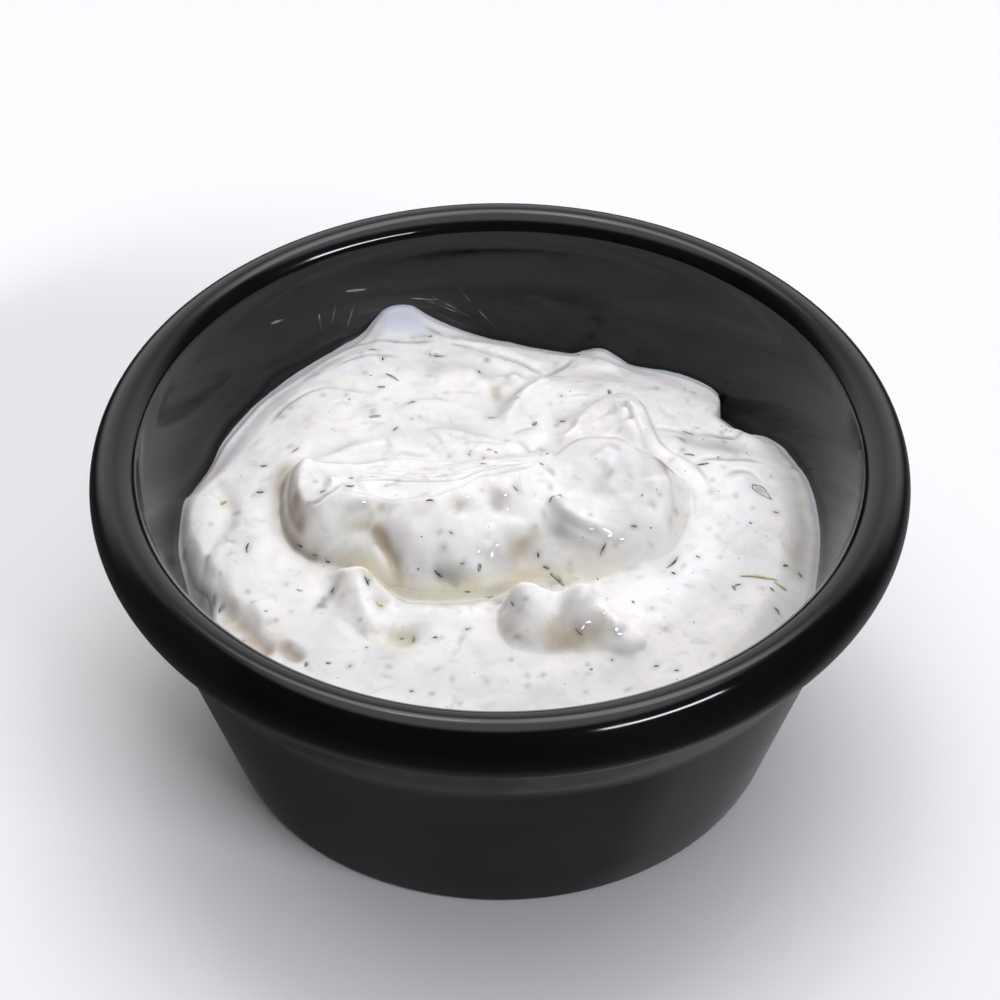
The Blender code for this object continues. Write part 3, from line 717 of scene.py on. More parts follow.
# Folds and soft swells between the dollop and the back wall.
BACK = [
    ("z", (7.2, 12.6), 0.3, 1, 0.8, 40),
    ("grey", (4.6, 12.6, 5.9, 13.4, 7.2, 14.1, 8.6, 14.9, 10, 15.8), 0.18, 0.9, 0.6),
    # valley and lumps between shelf and back
    ("z", (4.9, 15.4, 5, 13, 4.8, 10.6, 4.5, 8.4), -0.3, 0.8, 0.7),
    ("z", (3.4, 10.2), 0.5, 1.5, 1.4, 10),
    ("crease", (3.6, 12, 2.9, 12.1, 2.1, 11.8, 1.5, 11.1, 1.3, 10.3), 0.22, 0.28, 0.28, 0.35),
    ("crease", (1.4, 9.8, 2.1, 9, 2.7, 8.1, 3.3, 7.6), 0.2, 0.2, 0.4, 0.35),
    ("hollow", (3.2, 11.8, 2.2, 11.6, 1.6, 10.8), 0.28, 0.5, 0.5),
    ("z", (0.9, 8.6), 0.4, 0.9, 0.7),
    ("fold", (0.4, 9.6, -1.9, 10.4, -3.8, 11, -5.4, 11.5, -6.6, 11.3, -7.2, 10.6), 0.4, 2.2, 0.35, 0.3, 0.4,
     0.22),
    ("grey", (-8.4, 12.3, -7.4, 12.7, -6.2, 12.5, -5, 12.3, -3.6, 11.8, -1.9, 11.4), 0.24, 0.5, 0.25),
    ("z", (-4.6, 8.4), 0.3, 2.2, 0.9),
    ("z", (-2, 8.2), 0.25, 1.8, 0.8),
    ("fold", (-3.6, 16.4, -5.3, 16.5, -6.8, 16.6, -8.2, 16.2, -9.4, 15.2, -10, 13.8), 0.35, 1.8, 0.45, 0.3,
     0.45, 0.1),
    ("crease", [(-5.6, 10.2, -4, 9.9, -2.6, 9.2, -1, 9.3, 0.6, 8.7), (-10.8, 7.6, -9.2, 8, -7.6, 7.6,
     -6, 7.8), (-2.2, 7.3, -0.6, 7.1, 1.2, 7.4, 2.8, 7), (-13.8, 12.6, -12.6, 12.9, -11.2, 12.4),
     (-16.4, 15.6, -15.2, 15.9, -14.2, 15.2), (6.4, 17.2, 7.8, 17.6, 9.2, 17.2), (-4.6, 18.2, -3.4, 18.6,
     -2.2, 18)], 0.16, 0.2, 0.26, 0.35),
    ("z", (-7.4, 13.6), 0.3, 2.4, 1.6),
    ("grey", (-12.8, 14.8), 0.2, 1, 1.3, -30),
    # crossed ridges at the back
    ("crease", (-5.4, 26.4, -3.9, 26.4, -2.5, 25.9, -1, 25.1, 0.5, 24.5, 2, 23.7, 3.2, 22.7, 4.4, 21.7),
     0.3, 0.28, 0.7, 0.2),
    ("crease", (4.2, 21.5, 5.3, 22.4, 6.3, 23.6, 7.2, 25.2), 0.3, 0.3, 0.75, 0.2),
    ("z", (-4.4, 24.7, -2, 24.4, 0, 23.6, 2, 22.7, 3.6, 21.4), 0.35, 0.9, 0.9),
    ("z", (-3.4, 27.4, 0, 25.9, 2.6, 24.5, 5, 23.6), 0.3, 0.9, 0.7),
    ("crease", (4.4, 21.3, 3.7, 20.3, 2.7, 19.3, 1.7, 18.1, 1.1, 16.7), 0.3, 0.28, 0.4, 0.25),
    ("hollow", (4.4, 20.9, 3.4, 20, 2.3, 18.8, 1.4, 17.4, 0.9, 15.8), 0.34, 0.35, 0.3, 0.3),
    ("z", (5.2, 20.6, 3.9, 19.3, 2.6, 17.8, 1.7, 15.9, 1.1, 14.1, 0.4, 12.6), 0.85, 0.6, 1, 0.2),
    ("grey", (3.2, 20.2, 2, 18.8, 0.9, 17.2, 0.2, 15.4, -0.4, 13.8), 0.22, 0.7, 0.6, 0.3),
    ("crease", (4.8, 21.5, 5.8, 21.4, 6.7, 20.9), 0.15, 0.25, 0.4, 0.4),
    ("z", (1.3, 20.3), 1, 0.9, 0.8),
    ("grey", (0.1, 20.2, 0.5, 21.2, 1.4, 21.8, 2.2, 21.4, 2.9, 20.6), 0.4, 0.25, 0.25, 0.4),
    ("z", (-0.1, 20.6), 0.35, 0.5, 0.5),
    ("z", (-0.4, 18.4), -0.4, 0.5, 1.3, 5),
    ("hollow", (-0.5, 18.4), 0.5, 0.55, 1.5, 5),
    ("z", (-3.2, 21.4), 0.5, 1.5, 1.2),
    ("z", (-5.4, 20.4), 0.35, 1.2, 1.1),
    ("z", (-1.8, 19.9), 0.3, 0.9, 0.8),
    ("grey", (-1.4, 21.2), 0.24, 0.9, 1.2),
    ("grey", (-6.6, 22), 0.18, 0.9, 1.4),
    ("z", (5.6, 19), 0.35, 2.2, 1.6, 20),
    ("z", (10, 24.2), 0.45, 2.2, 1.2, -10),
    ("whey", (9.2, 24), 0.4, 1.6, 0.35, 0),
    # crescents at the left
    ("fold", (-12.6, 17, -13.6, 17.5, -15.2, 17.8, -16.5, 18.3, -17.5, 18.3, -18.6, 17.9, -19.8, 16.9,
     -20.9, 15.8, -21.6, 14.8, -22.3, 13.6), 0.35, 2.4, 0.3, 0.3, 0.25, 0.3),
    ("z", (-19, 7.9, -17.9, 8.3, -16.6, 8.6, -15.2, 9.1, -14.3, 9.7, -13, 10.1), -0.2, 1.2, 0.5),
    ("hollow", (-19.4, 8, -17.9, 8.6, -16.4, 8.9, -15, 9.5, -14, 10, -12.8, 10.4), 0.22, 0.3, 0.9, 0.35),
    ("grey", (-17.2, 8.3, -15.2, 9, -13.4, 9.9), 0.2, 0.25, 0.5, 0.35),
    ("z", (-12.4, 8.9), 0.5, 2.2, 0.9, 10),
    ("z", (-9.8, 9.6), 0.35, 1.2, 1.2),
    ("hollow", (-18.1, 14.8), 0.16, 0.8, 2),
    ("whey", (-15.9, 11.7), 0.28, 1, 0.6, 30),
    # creases below the peak
    ("crease", (-16, 22.2, -15.1, 23, -13.9, 23.5, -12.7, 23.8, -11.4, 23.7, -9.6, 23.4), 0.22, 0.26, 0.68,
     0.25),
    ("grey", (-19.4, 19.6, -18.4, 21, -17.2, 22.2, -15.8, 23.4, -14.4, 24.2), 0.42, 0.9, 0.4, 0.3),
    ("crease", (-15.7, 25.4, -14.6, 25.8, -13.3, 26.1, -11.8, 26.2, -9.8, 26, -7.9, 26.3, -5.9, 26.6), 0.2,
     0.18, 0.68, 0.2),
    ("grey", (-11.4, 25.7, -9.6, 26, -8, 26.1, -6.4, 26.2), 0.35, 0.6, 0.3, 0.3),
    ("grey", (-4.9, 28.2, -3.4, 27.8, -1.4, 27, 0.2, 26.6), 0.5, 0.35, 0.25, 0.3),
    ("grey", (-4.6, 27.6), 0.5, 0.5, 0.4, -20),
    ("grey", (-6.4, 28), 0.75, 1, 0.35, -25),
    ("grey", (-7.2, 27.2), 0.4, 0.6, 0.4),
    ("film", (-10.6, 28.8), 1, 1.5, 1.5),
    ("film", (-9, 28.6), 0.9, 1.5, 1.5),
    ("film", [(-7.6, 27.8), (-11.4, 27.4)], 0.4, 1.5, 1.5),
    ("z", (12, 19.8), 0.3, 3.4, 1.6, -25),
    ("grey", (7, 21.4, 10, 20.8, 12.4, 20.4), 0.24, 0.6, 0.6),
    ("grey", (9.4, 22.4, 11, 21.6, 12.6, 21.2), 0.26, 0.35, 0.3, 0.4)]


# The full lobe at the left, and the creases and scoop at the right.
SIDES = [
    ("z", (-28.2, 1), 0.45, 1.6, 4.6, 3),
    ("crease", (-26.3, 6, -26, 4.4, -25.4, 2.7, -25.5, 0.8, -26.2, -1.1, -27, -2.9, -27.5, -4.4, -27.8, -6,
     -27.8, -7.8), 0.4, 0.75, 0, 0.25),
    ("grey", (-25.4, 1.6, -25.8, -0.4, -26.4, -1.8, -27.1, -3.2, -27.5, -4.6, -27.8, -6.2, -27.8, -7.8),
     0.62, 0.26, 0.26, 0.6),
    ("grey", (-26.2, 6.6, -25.6, 4.6, -25, 2.4, -25, 0.4, -25.8, -1.8), 0.22, 1, 0.8, 0.3),
    ("grey", (-27.7, -6.6), 0.18, 0.35, 1.6, 5),
    ("grey", (-26.4, 6), 0.34, 0.5, 1.4, 15),
    ("whey", (-25.9, 3.4), 0.45, 0.4, 0.9, -30),
    ("z", (-24.6, -5), 0.45, 1.3, 2.2, 10),
    # right
    ("fold", (18.6, 7.9, 19.6, 8.4, 21.2, 8.7, 22.9, 9, 24.3, 9, 25.8, 8.9), 0.14, 1.8, 0.14, 0.5, 0.3,
     0.55),
    ("grey", (17.6, 10.9), 0.22, 1.1, 0.5, -8),
    ("grey", (19.4, 10), 0.2, 1.1, 0.5, -8),
    ("grey", (21.6, 10.2), 0.22, 1.1, 0.5, -8),
    ("grey", (23.4, 9.8), 0.06, 1.1, 0.5, -8),
    ("grey", (21.4, 10.8), 0.25, 1.8, 1, -5),
    ("grey", (20.6, 12.2), 0.3, 2, 0.35, 0),
    ("fold", (14.6, 12.2, 15.5, 12.4, 16.8, 12.3, 17.8, 11.9, 18.7, 11.5), 0.16, 1.2, 0.2, 0.5, 0.35, 0.4),
    ("z", (16.9, 10.4), 0.35, 0.9, 0.8),
    ("grey", (19.6, 12.4, 21.4, 12.3, 23, 12.2), 0.45, 0.25, 0.3, 0.4),
    ("grey", (20.8, 8.9, 22.8, 9.1, 25.2, 9), 0.3, 0.14, 0.14, 0.3),
    ("z", (20.9, 5.5, 21.6, 6.5, 22.6, 7.2, 23.6, 7.2, 24.4, 6.6, 25, 5.6), -0.34, 0.2, 0.7, 0.25),
    ("grey", (21, 5.7, 21.8, 6.8, 22.6, 7.3, 23.6, 7.3, 24.4, 6.7, 25, 5.6), 0.5, 0.16, 0.24, 0.4),
    ("z", (22.9, 5.8), 0.6, 1.2, 0.9),
    ("z", (25.2, 12.4), 0.6, 2.2, 1.5, -35),
    ("crease", (23.9, 14.6, 23.2, 13.6, 22.6, 12.4, 21.6, 12.2, 20.4, 12.3), 0.3, 0.25, 0.4),
    ("grey", (24.7, 4.8), 0.5, 0.75, 0.42, -42),
    ("hollow", (27.7, -2.6), 0.4, 0.9, 2),
    ("grey", (25.6, 13.2, 27.2, 10.8, 28.4, 8, 28.9, 5, 28.9, 1, 28.6, -3), 0.22, 0.8, 0.8, 0.2)]


# The peaked mass at the front left: its crest and its foot, as x, y and height
PEAK_CREST = [(-16.2, -6.6, 22.6), (-15.5, -6.4, 23.2), (-14.8, -6.6, 23.9), (-14.1, -6.9, 24.4),
    (-13.3, -6.9, 24.5), (-12.5, -7, 24.4), (-11.8, -7.5, 23.9), (-11, -8.3, 23.4), (-10.1, -8.9, 22.9),
    (-9.2, -9.4, 22.4)]
PEAK_FOOT = [(-16.6, -7.6, 22.4), (-16.2, -9.4, 22.4), (-15.2, -10.8, 22.3), (-13.6, -12.2, 22.2),
    (-12.2, -13.8, 22.1), (-10.6, -14.6, 22.1), (-9.7, -12.2, 22.2), (-8.9, -9.8, 22.3)]

# The peaked mass at the left, dents by the wall and the broad swell at the right.
FRONT = [
    ("z", (-13.2, -7.4, -12.9, -9, -12.4, -10.7, -11.8, -12.2, -11, -13.8), 0.5, 0.8, 0.9),
    ("grey", (-13.8, -9.6, -13.4, -11.4, -12.6, -13, -11.6, -14.4), 0.24, 0.4, 0.7, 0.3),
    ("z", (-11.1, -9.9), -0.35, 0.6, 1, 30),
    ("whey", (-11.1, -10), 0.65, 0.45, 0.8, 30),
    ("hollow", (-14.7, -6.9, -15, -7.6, -15.3, -8.3), 0.5, 0.6, 0.4),
    ("z", (-15.3, -9.8), -0.35, 1.1, 1.3),
    ("grey", (-14.9, -7.8, -15.8, -9.1, -16.8, -10.4), 0.7, 0.3, 0.55, 0.3),
    ("whey", (-12.2, -13.8, -11, -14.8, -10.2, -15.2), 0.3, 0.6, 0.6),
    ("z", (-6.7, -12), 0.4, 1.2, 0.8),
    ("z", (-8.7, -13.8), -0.65, 1.4, 1.1),
    ("grey", (-8.9, -13.7), 0.7, 1.3, 1.2),
    ("whey", (-9, -13.8), 0.75, 1.4, 1.2),
    ("z", (-26.2, -8.4, -24.7, -10.4, -23, -12.8, -21.8, -14.6, -20.6, -16.2), -0.85, 0.9, 1.1, 0.22),
    ("hollow", (-26.2, -8, -24.8, -10.2, -23.6, -12.2, -22.2, -14.2, -21, -15.6, -20, -16.8), 0.9, 0.7, 1.2,
     0.3),
    ("grey", (-24.8, -10.2, -23.2, -12.6, -22, -14.2, -21, -15.6), 0.42, 0.7, 0.8, 0.35),
    ("grey", (-27, -7.4, -26, -8.4, -25, -9.6, -24.2, -10.8), 0.42, 0.9, 0.6, 0.3),
    ("z", (-20.1, -14.2, -19, -15.5, -17.6, -16.7), -0.85, 0.7, 0.9, 0.4),
    ("hollow", (-20.6, -13.4, -19.8, -14.4, -18.8, -15.5, -17.2, -16.8), 0.85, 0.6, 1, 0.45),
    ("grey", (-20.3, -14.2, -18.8, -15.7, -17.6, -16.8), 0.52, 0.5, 0.9, 0.4),
    ("whey", (-12, -6.6, -8.4, -8.3, -4.4, -8.6, -0.6, -7.9, 2.6, -6.9, 5.6, -6.6), 0.32, 0.8, 1.2, 0.2),
    ("grey", (-3.8, -7.4), 0.45, 1.5, 0.8),
    ("whey", (2.9, -6.9), 0.45, 1.2, 0.6),
    ("z", (-22.6, -9.1, -21.9, -11.1, -21.3, -12.4), 0.45, 1.1, 0.8),
    ("hollow", (-21, -11.6, -20.6, -13, -20.2, -14.2), 0.2, 0.7, 0.6, 0.4),
    # bright rim in front of the dollop's foot
    ("z", (-9.6, -9.9, -7.4, -10.4, -5, -10.5, -2.6, -10.3, -0.8, -9.6), 0.22, 0.5, 1),
    ("whey", (-15, -5.6, -13, -6.8, -10.8, -8.2, -8.8, -8.8, -5.5, -9.1, -2.3, -8.8, 0, -8.1), 0.8, 1.5,
     0.32, 0.15),
    ("whey", (0.6, -8, 2.4, -7.2, 4.4, -6.9, 6.2, -7.2, 9.3, -6.3, 12.7, -4.9), 0.6, 1.2, 0.4, 0.2),
    ("whey", (1.6, -6.9), 0.45, 2.6, 0.8, 10),
    ("whey", (-12, -5.9), 0.4, 2.2, 0.9, -30),
    ("grey", (-6, -7.6), 0.25, 4, 1),
    ("z", (26.8, -8.3, 23.9, -9.9, 22, -11.9, 20.1, -14.5, 18.5, -17.9), 0.5, 2.6, 1.6),
    ("hollow", (21.6, -13.6, 20, -15.6, 18.6, -17.4), 0.16, 1, 1.2, 0.4)]


# The pair of small knobs: its crest and its foot, as x, y and height
KNOB_CREST = [(0.2, -11, 22.5), (0.5, -10.6, 23.6), (1, -10.4, 24.6), (1.6, -10.2, 25.3),
    (2.3, -10.3, 25.6), (3.1, -10.4, 25.5), (4.1, -10.6, 25.1), (5.2, -10.7, 24.9), (6.2, -10.8, 25.3),
    (7, -10.8, 25.8), (7.7, -10.8, 26), (8.4, -11, 25.8), (9.1, -11.6, 25.3), (9.9, -12.6, 24.7),
    (10.7, -13.4, 24.2), (11.5, -13.8, 23.9), (12.3, -14.2, 23.6), (13, -14.9, 23.1)]
KNOB_FOOT = [(-0.2, -11.8, 22.3), (0.1, -13.4, 22.2), (0.9, -14.8, 22.2), (2.2, -15.5, 22.1),
    (3.6, -15.8, 22.1), (4.8, -15.9, 22.1), (6.4, -15.9, 22.1), (8.2, -15.8, 22.1), (9.5, -15.9, 22.1),
    (10.6, -16.3, 22.1), (12.2, -16.6, 22.1), (13.4, -15.9, 22.2)]

# The pair of small knobs in front of the dollop.
KNOBS = [
    ("z", (2.3, -12.4), 0.4, 1.5, 1.4),
    ("z", (7.6, -12.4), 0.45, 1.2, 1.2),
    ("z", (5.4, -13.4), -0.55, 0.9, 1.9, 8),
    ("z", (8.4, -12.2, 9.4, -13.2, 10.4, -14.1, 11.4, -14.9), 0.55, 1, 1, 0.35),
    ("z", (11.2, -15.2), 0.55, 1.4, 1, -35),
    ("hollow", (8.5, -14.6), 0.5, 1.4, 0.8),
    ("hollow", (5.4, -12.6, 5.1, -13.4, 4.5, -14.4, 3.4, -15.3), 0.6, 0.8, 0.7, 0.25),
    ("hollow", (3.2, -15.3, 5.2, -15.4, 6.8, -15.3, 8.2, -15), 0.8, 1.5, 0.4, 0.3),
    ("hollow", (7.4, -14.2), 0.34, 1.5, 0.9),
    ("grey", (12, -15.4), 0.12, 1.2, 0.9, -30),
    ("grey", (6.4, -11.8), 0.22, 0.7, 1.2, -20),
    ("hollow", (0.4, -11.2, 0.4, -12.4, 0.8, -13.6, 1.6, -14.6), 0.62, 0.9, 0.5, 0.3),
    ("grey", (0.9, -14.2, 2.4, -15, 4.2, -15.3), 0.34, 0.9, 0.4, 0.3),
    ("grey", (2, -12.8), 0.16, 1.6, 1.2),
    ("grey", (7.6, -12.2), 0.14, 1.2, 1),
    ("grey", (9.8, -16.2, 11.2, -16.7, 12.5, -16.4, 13.3, -15.3), 0.16, 0.6, 0.4, 0.3)]


# Directions round the bowl, in degrees from the front
BITE = 134.0                # the bite at the back right
LEFT_LOBE = -94.0
LEFT_FILM = -74.0
BITE_RADIUS = 30.2
WALL_REACH = 4.0            # how far from the wall the surface starts towards the edge's level


def meet_wall(dip):
    """Brings the surface to the edge's level at the wall, where it ends in a thin smeared film."""
    around = np.degrees(np.arctan2(dip.x, -dip.y))
    # one side of the bite runs straight back
    straight_back = 180.0 - np.degrees(np.arcsin(np.clip(dip.x / BITE_RADIUS, -1.0, 1.0)))
    turned = np.radians(around + bell(around, BITE, 9.0) * (straight_back - around))
    level = edge_level(np.sin(turned), -np.cos(turned))
    gap = np.maximum(inner_wall(level) - np.hypot(dip.x, dip.y), 0.0)
    reach = WALL_REACH - 2.7 * bell(around, LEFT_LOBE, 15.0)
    dip.z = level + (dip.z - level) * smooth_step(gap / reach) ** 0.7
    angles, widths, tones = np.array(FILM).T
    width = np.interp(around, angles, widths, period=360.0) * (1.0 + 0.25 * np.sin(np.radians(23.0 * around)))
    tone = np.interp(around, angles, tones, period=360.0)
    past = gap - width
    dip.z += (0.10 + 0.20 * tone) * bell(past, 0.45, 0.45) - 0.20 * tone * bell(past, 0.0, 0.16)
    within = smooth_step(-past / 0.2 + 0.5)
    # painted shade: a dark line along the film's edge crease and a soft darkening next to the wall, and a
    # darker grey over the film at the left
    dip.grey += tone * bell(past, 0.0, 0.13) + 0.16 * bell(gap, 0.0, 1.3)
    dip.grey += 0.45 * within * bell(around, LEFT_FILM, 9.0)
    dip.film += (0.30 + 0.25 * tone) * within


# The film along the wall: direction, width, and how much painted shade darkens the crease at its
# edge, which also deepens that crease and strengthens the film's tint
FILM = [(-180, 0.3, 0.2), (-168, 0.5, 0.1), (-158, 0.3, 0.1), (-153, 0.6, 0.2), (-145, 1.2, 0.4),
    (-134, 0.9, 0.6), (-125, 0.5, 0.75), (-115, 0.25, 0.75), (-107, 0.15, 0.5), (-100, 0.15, 0.1),
    (-92, 0.2, 0.1), (-86, 0.5, 0.3), (-76, 1.2, 0.6), (-68, 1.2, 0.6), (-60, 0.4, 0.3), (-45, 0.15, 0),
    (45, 0.15, 0), (75, 0.25, 0.1), (95, 0.3, 0.15), (115, 0.45, 0.35), (130, 0.3, 0.45), (134, 0.2, 0.5),
    (138, 0.45, 0.45), (150, 0.4, 0.45), (160, 0.3, 0.2), (170, 0.25, 0.2)]


# Soft grey patches of painted shade: x, y, strength, half width and half depth
SOFT_PATCHES = [(-23.8, -3, 0.26, 1.5, 5), (-23.5, 8, 0.1, 2.2, 4), (-18.5, -14, 0.3, 5, 3.4),
    (-12.5, -18.5, 0.3, 7, 3), (0.5, -20.5, 0.16, 6, 3.6), (-15.6, -10.4, 0.2, 1.9, 1.8),
    (-6, -20, 0.12, 4, 2.2), (-10.4, -15.6, 0.16, 2, 1), (-24.4, -7.8, 0.16, 1.6, 2),
    (-28.4, -1.6, 0.34, 1.2, 3.6), (-5.4, -11.6, 0.14, 4.6, 1), (-26.4, 2, 0.16, 1.6, 3.4),
    (-20.5, -8, 0.15, 2.6, 2.6), (12, 1.8, 0.16, 2.8, 2), (-17.6, 2.4, 0.16, 0.8, 1.6),
    (-1.5, -15.5, 0.24, 6, 3.4), (7.5, -19.5, 0.06, 5, 2.2), (-6.5, -6, 0.25, 3, 2.4),
    (1, -5.6, 0.5, 3.6, 1.8), (8.5, -4.4, 0.4, 4.4, 1.6), (13, -2.6, 0.3, 3, 2.2), (9.5, 13.8, 0.1, 3, 2.4),
    (-16.6, -0.6, 0.2, 1.2, 1.6), (19.6, 10.6, 0.2, 2.8, 2.2), (21, 0.5, 0.1, 2.4, 3),
    (-7.5, 10.5, 0.14, 3.4, 2.6), (-6, 21.5, 0.12, 3.6, 2.4), (11, 20.4, 0.16, 5, 3),
    (28.2, 3, 0.25, 1.1, 6), (-20.5, 17, 0.16, 3, 3), (-9, 15, 0.1, 4, 2), (3.5, 8.2, 0.1, 2, 1.2),
    (22.6, 10, 0.2, 3.4, 0.9), (0, 14.5, 0.2, 3, 2.4), (17.8, 10.6, 0.24, 2.6, 1.1),
    (-3, 11.6, 0.14, 3, 1.2)]


# Places that shine: x, y, half width and half depth
WET_PLACES = [(8.2, -13.2, 1.3, 1.1), (9.8, -13.6, 0.9, 0.8), (10.9, -14.8, 0.9, 0.9),
    (2.4, -11.6, 0.8, 0.7), (9, -2.4, 2, 0.5), (11.4, -2.8, 1, 0.5), (-12.9, -1.2, 1.2, 0.5),
    (-1, -4.8, 1.5, 0.7), (0.5, -0.4, 0.6, 0.8), (-3, -0.8, 0.6, 0.6), (-13.2, -7.4, 0.8, 0.6)]


# Herbs that stand out one by one: x, y, length and turn in degrees
DARK_DILL = [(-12.5, 24.5, 0.8, 0), (-11.5, 23, 0.6, 90), (-10, 11.5, 0.9, 60), (-22.5, 8, 0.7, -10),
    (-22.7, 4.5, 0.8, -10), (-19.5, 9.5, 0.9, 40), (-16.5, 0.5, 0.7, 40), (-14, 1, 0.9, 10),
    (-6, 24, 1.1, 10), (-2, 21.5, 0.6, -60), (-8.5, 15.5, 0.8, 20), (6, 13, 0.8, -40), (1.5, 1, 0.7, -30),
    (-6.5, -1.5, 0.8, 10), (4.8, 0.1, 0.8, 40), (5.6, 0.2, 0.5, -20), (18, 12, 1.2, -15), (18, 8.6, 1.1, 0),
    (19.3, 7.6, 1.3, 20), (-23.5, -2.8, 1.4, 85), (-15.5, -8.2, 0.6, 60), (-17.2, -4, 0.6, -10),
    (-16, -4.6, 0.5, -10), (-12.3, -8, 1, -60), (-9, -13.4, 0.5, -10), (-7.9, -13.7, 0.8, 80),
    (3.5, -4.5, 0.6, 90), (4.3, -5.8, 0.7, -30), (9.6, -4, 1.5, 70), (-5.7, -7, 1.1, -50),
    (-3, -8.4, 0.5, 0), (7.2, -14.4, 0.9, -55), (-8, -20.5, 0.4, 0), (12.5, -1.7, 0.6, 0),
    (16, -4.6, 1.9, 55), (16.1, -6.1, 0.5, -35), (26, 2.1, 0.5, -20), (26.6, -4.5, 0.6, 20),
    (22, -7.6, 0.6, 20), (25.2, -8, 0.7, -50), (25.5, -10.5, 0.8, -30), (16, -18.4, 0.5, 0),
    (14.2, -17.8, 0.5, 0), (-26.4, -8, 1.2, 75), (-25.8, -9.2, 0.7, 60), (-18.7, -3, 0.8, -20),
    (28, -4.6, 0.6, -40), (-5.9, -13.9, 0.5, 0)]


PALE_DILL = [(-10.5, 20, 1.8, -40), (-11.5, 18.5, 0.8, 0), (-12, 13.6, 1.2, 10), (-1, -8.6, 1.1, 10),
    (1.4, -9.6, 0.9, 30), (-15.6, -17, 0.5, 0), (5.3, -6.9, 1.9, -50), (10.5, 18, 0.9, 90)]


YELLOW_SHREDS = [(-1, 8, 0.6, 10), (-0.4, 7.8, 0.4, -30), (3.9, 4.2, 0.5, -20), (-18.5, -8, 0.7, -20),
    (-11.1, -9.8, 0.9, -35), (-21.5, -11, 0.4, 30), (-26.1, 3.6, 1, 60)]


COVERED_DILL = [(-11, 16.5, 0.8, 0), (1.5, 16.5, 1, 10), (17.4, 10.6, 1.1, -50), (-10.3, -18.6, 1.4, -20),
    (-3.5, -14, 1.1, 70), (1.5, -14.4, 1, -20), (12.3, -5.4, 1.5, 10), (20.5, -4, 0.5, 10),
    (28, 9.5, 0.7, 0), (-8, 27, 1.2, 0), (-16.6, -9.8, 2.2, 55), (-4.2, -7.9, 1.1, -35),
    (-23.4, 11.6, 1.6, 45), (-10.6, 9.2, 1, -60), (-29.6, -2, 0.8, 90), (24.4, 4.9, 0.9, -50)]


def scatter(seed, count, smallest, largest):
    """Further herb pieces over the whole surface, most of them small: x, y, length, turn."""
    draw = random.Random(seed)
    places = []
    for _ in range(count):
        around, out = draw.uniform(0.0, math.tau), 28.6 * math.sqrt(draw.random())
        length = smallest + (largest - smallest) * draw.random() ** 2
        places.append((out * math.cos(around), out * math.sin(around), length, draw.uniform(-90.0, 90.0)))
    return places


HERBS = {"dark": DARK_DILL, "green": scatter(3, 26, 0.20, 0.8), "pale": PALE_DILL + scatter(5, 18, 0.3, 0.9),
         "yellow": YELLOW_SHREDS + scatter(8, 9, 0.25, 0.6)}
FLECKS = scatter(6, 120, 0.10, 0.22)


COVERED = COVERED_DILL + scatter(13, 150, 0.35, 1.3)


def shape_marks(dip):
    """Grey of herbs seen through the cream, round the pieces that show and over covered ones; soft patches of
    painted shade; and the places that shine.
    """
    for x, y, length, turn in HERBS["dark"] + HERBS["green"]:
        dip.lump((x, y), 0.34, 0.45 * length + 0.24, 0.36, turn, on="grey")
    for count, (x, y, length, turn) in enumerate(COVERED):
        dip.lump((x, y), 0.30 + 0.12 * (count % 3), 0.40 * length + 0.10, 0.26, turn, on="grey")
    for x, y, amount, across, deep in SOFT_PATCHES:
        dip.lump((x, y), amount, across, deep, on="grey")
    for x, y, across, deep in WET_PLACES:
        dip.lump((x, y), 1.6, across, deep, on="wet")


# Stations along the curled roll: x, y, top and radius
ROLL = [(7.6, 12.2, 25.6, 0.7), (8.8, 13.8, 25.8, 0.9), (10, 14.8, 26, 0.9), (11.4, 15.5, 26, 0.9),
    (12.5, 15.3, 26, 0.9), (13.2, 14.2, 25.9, 0.9), (13.7, 12.4, 25.8, 0.9), (14.1, 10.6, 25.7, 0.9),
    (14.9, 9, 25.5, 0.9), (16.1, 7.8, 25.2, 0.9), (17.5, 6.9, 24.9, 0.9), (18.6, 5.8, 24.5, 0.9),
    (19.2, 4.6, 24.1, 0.9), (19.7, 3, 23.6, 0.8)]

# The curled roll behind the domed end, with a full lobe inside it.
ARCH = [
    ("z", (13.4, 8.6, 13, 10.2, 12.4, 11.6, 11.9, 12.8), 1.15, 1.2, 1.5, 0.35),
    ("z", (5.6, 8.8, 6.8, 10.4, 8, 12, 9.2, 12.9), 0.8, 0.6, 0.6, 0.25),
    ("z", (8.2, 9.6, 9.4, 11.2, 10.6, 12.8), -0.3, 0.8, 0.7, 0.35),
    ("grey", (8.4, 14, 10, 15, 11.6, 15.5, 12.8, 14.8, 13.6, 13), 0.24, 0.7, 0.9, 0.25),
    ("hollow", (8.6, 13.6, 9.8, 14.4, 11, 14.9, 12.2, 14.8), 0.14, 0.5, 0.45, 0.3),
    ("z", (12, 13.9), 1, 1.2, 0.9, -30),
    ("hollow", (8.6, 10, 9.6, 11.4, 10.4, 12.6), 0.14, 0.7, 0.7, 0.35),
    ("grey", (10.5, 13.5, 11.2, 13.9, 11.9, 14, 12.5, 13.6), 0.4, 0.18, 0.18, 0.35),
    ("crease", (6.8, 12.8, 8.1, 14.5, 9.4, 15.6, 11.4, 16.6, 12.6, 16.5, 13.5, 15.4, 14.1, 13.8, 14.5, 11.8,
     15.1, 9.9, 16.3, 8.7, 17.6, 8, 18.8, 7, 19.5, 5.7, 20, 3.8), 0.2, 0.22, 0.42, 0.15),
    ("z", (16.6, 7.5), 0.25, 0.5, 0.4)]


def on_surface(tree, x, y):
    """The place on the dip's surface above or below x, y, and the way the surface faces there."""
    return tree.ray_cast(Vector((x * MM, y * MM, 1.0)), Vector((0, 0, -1)))[:2]


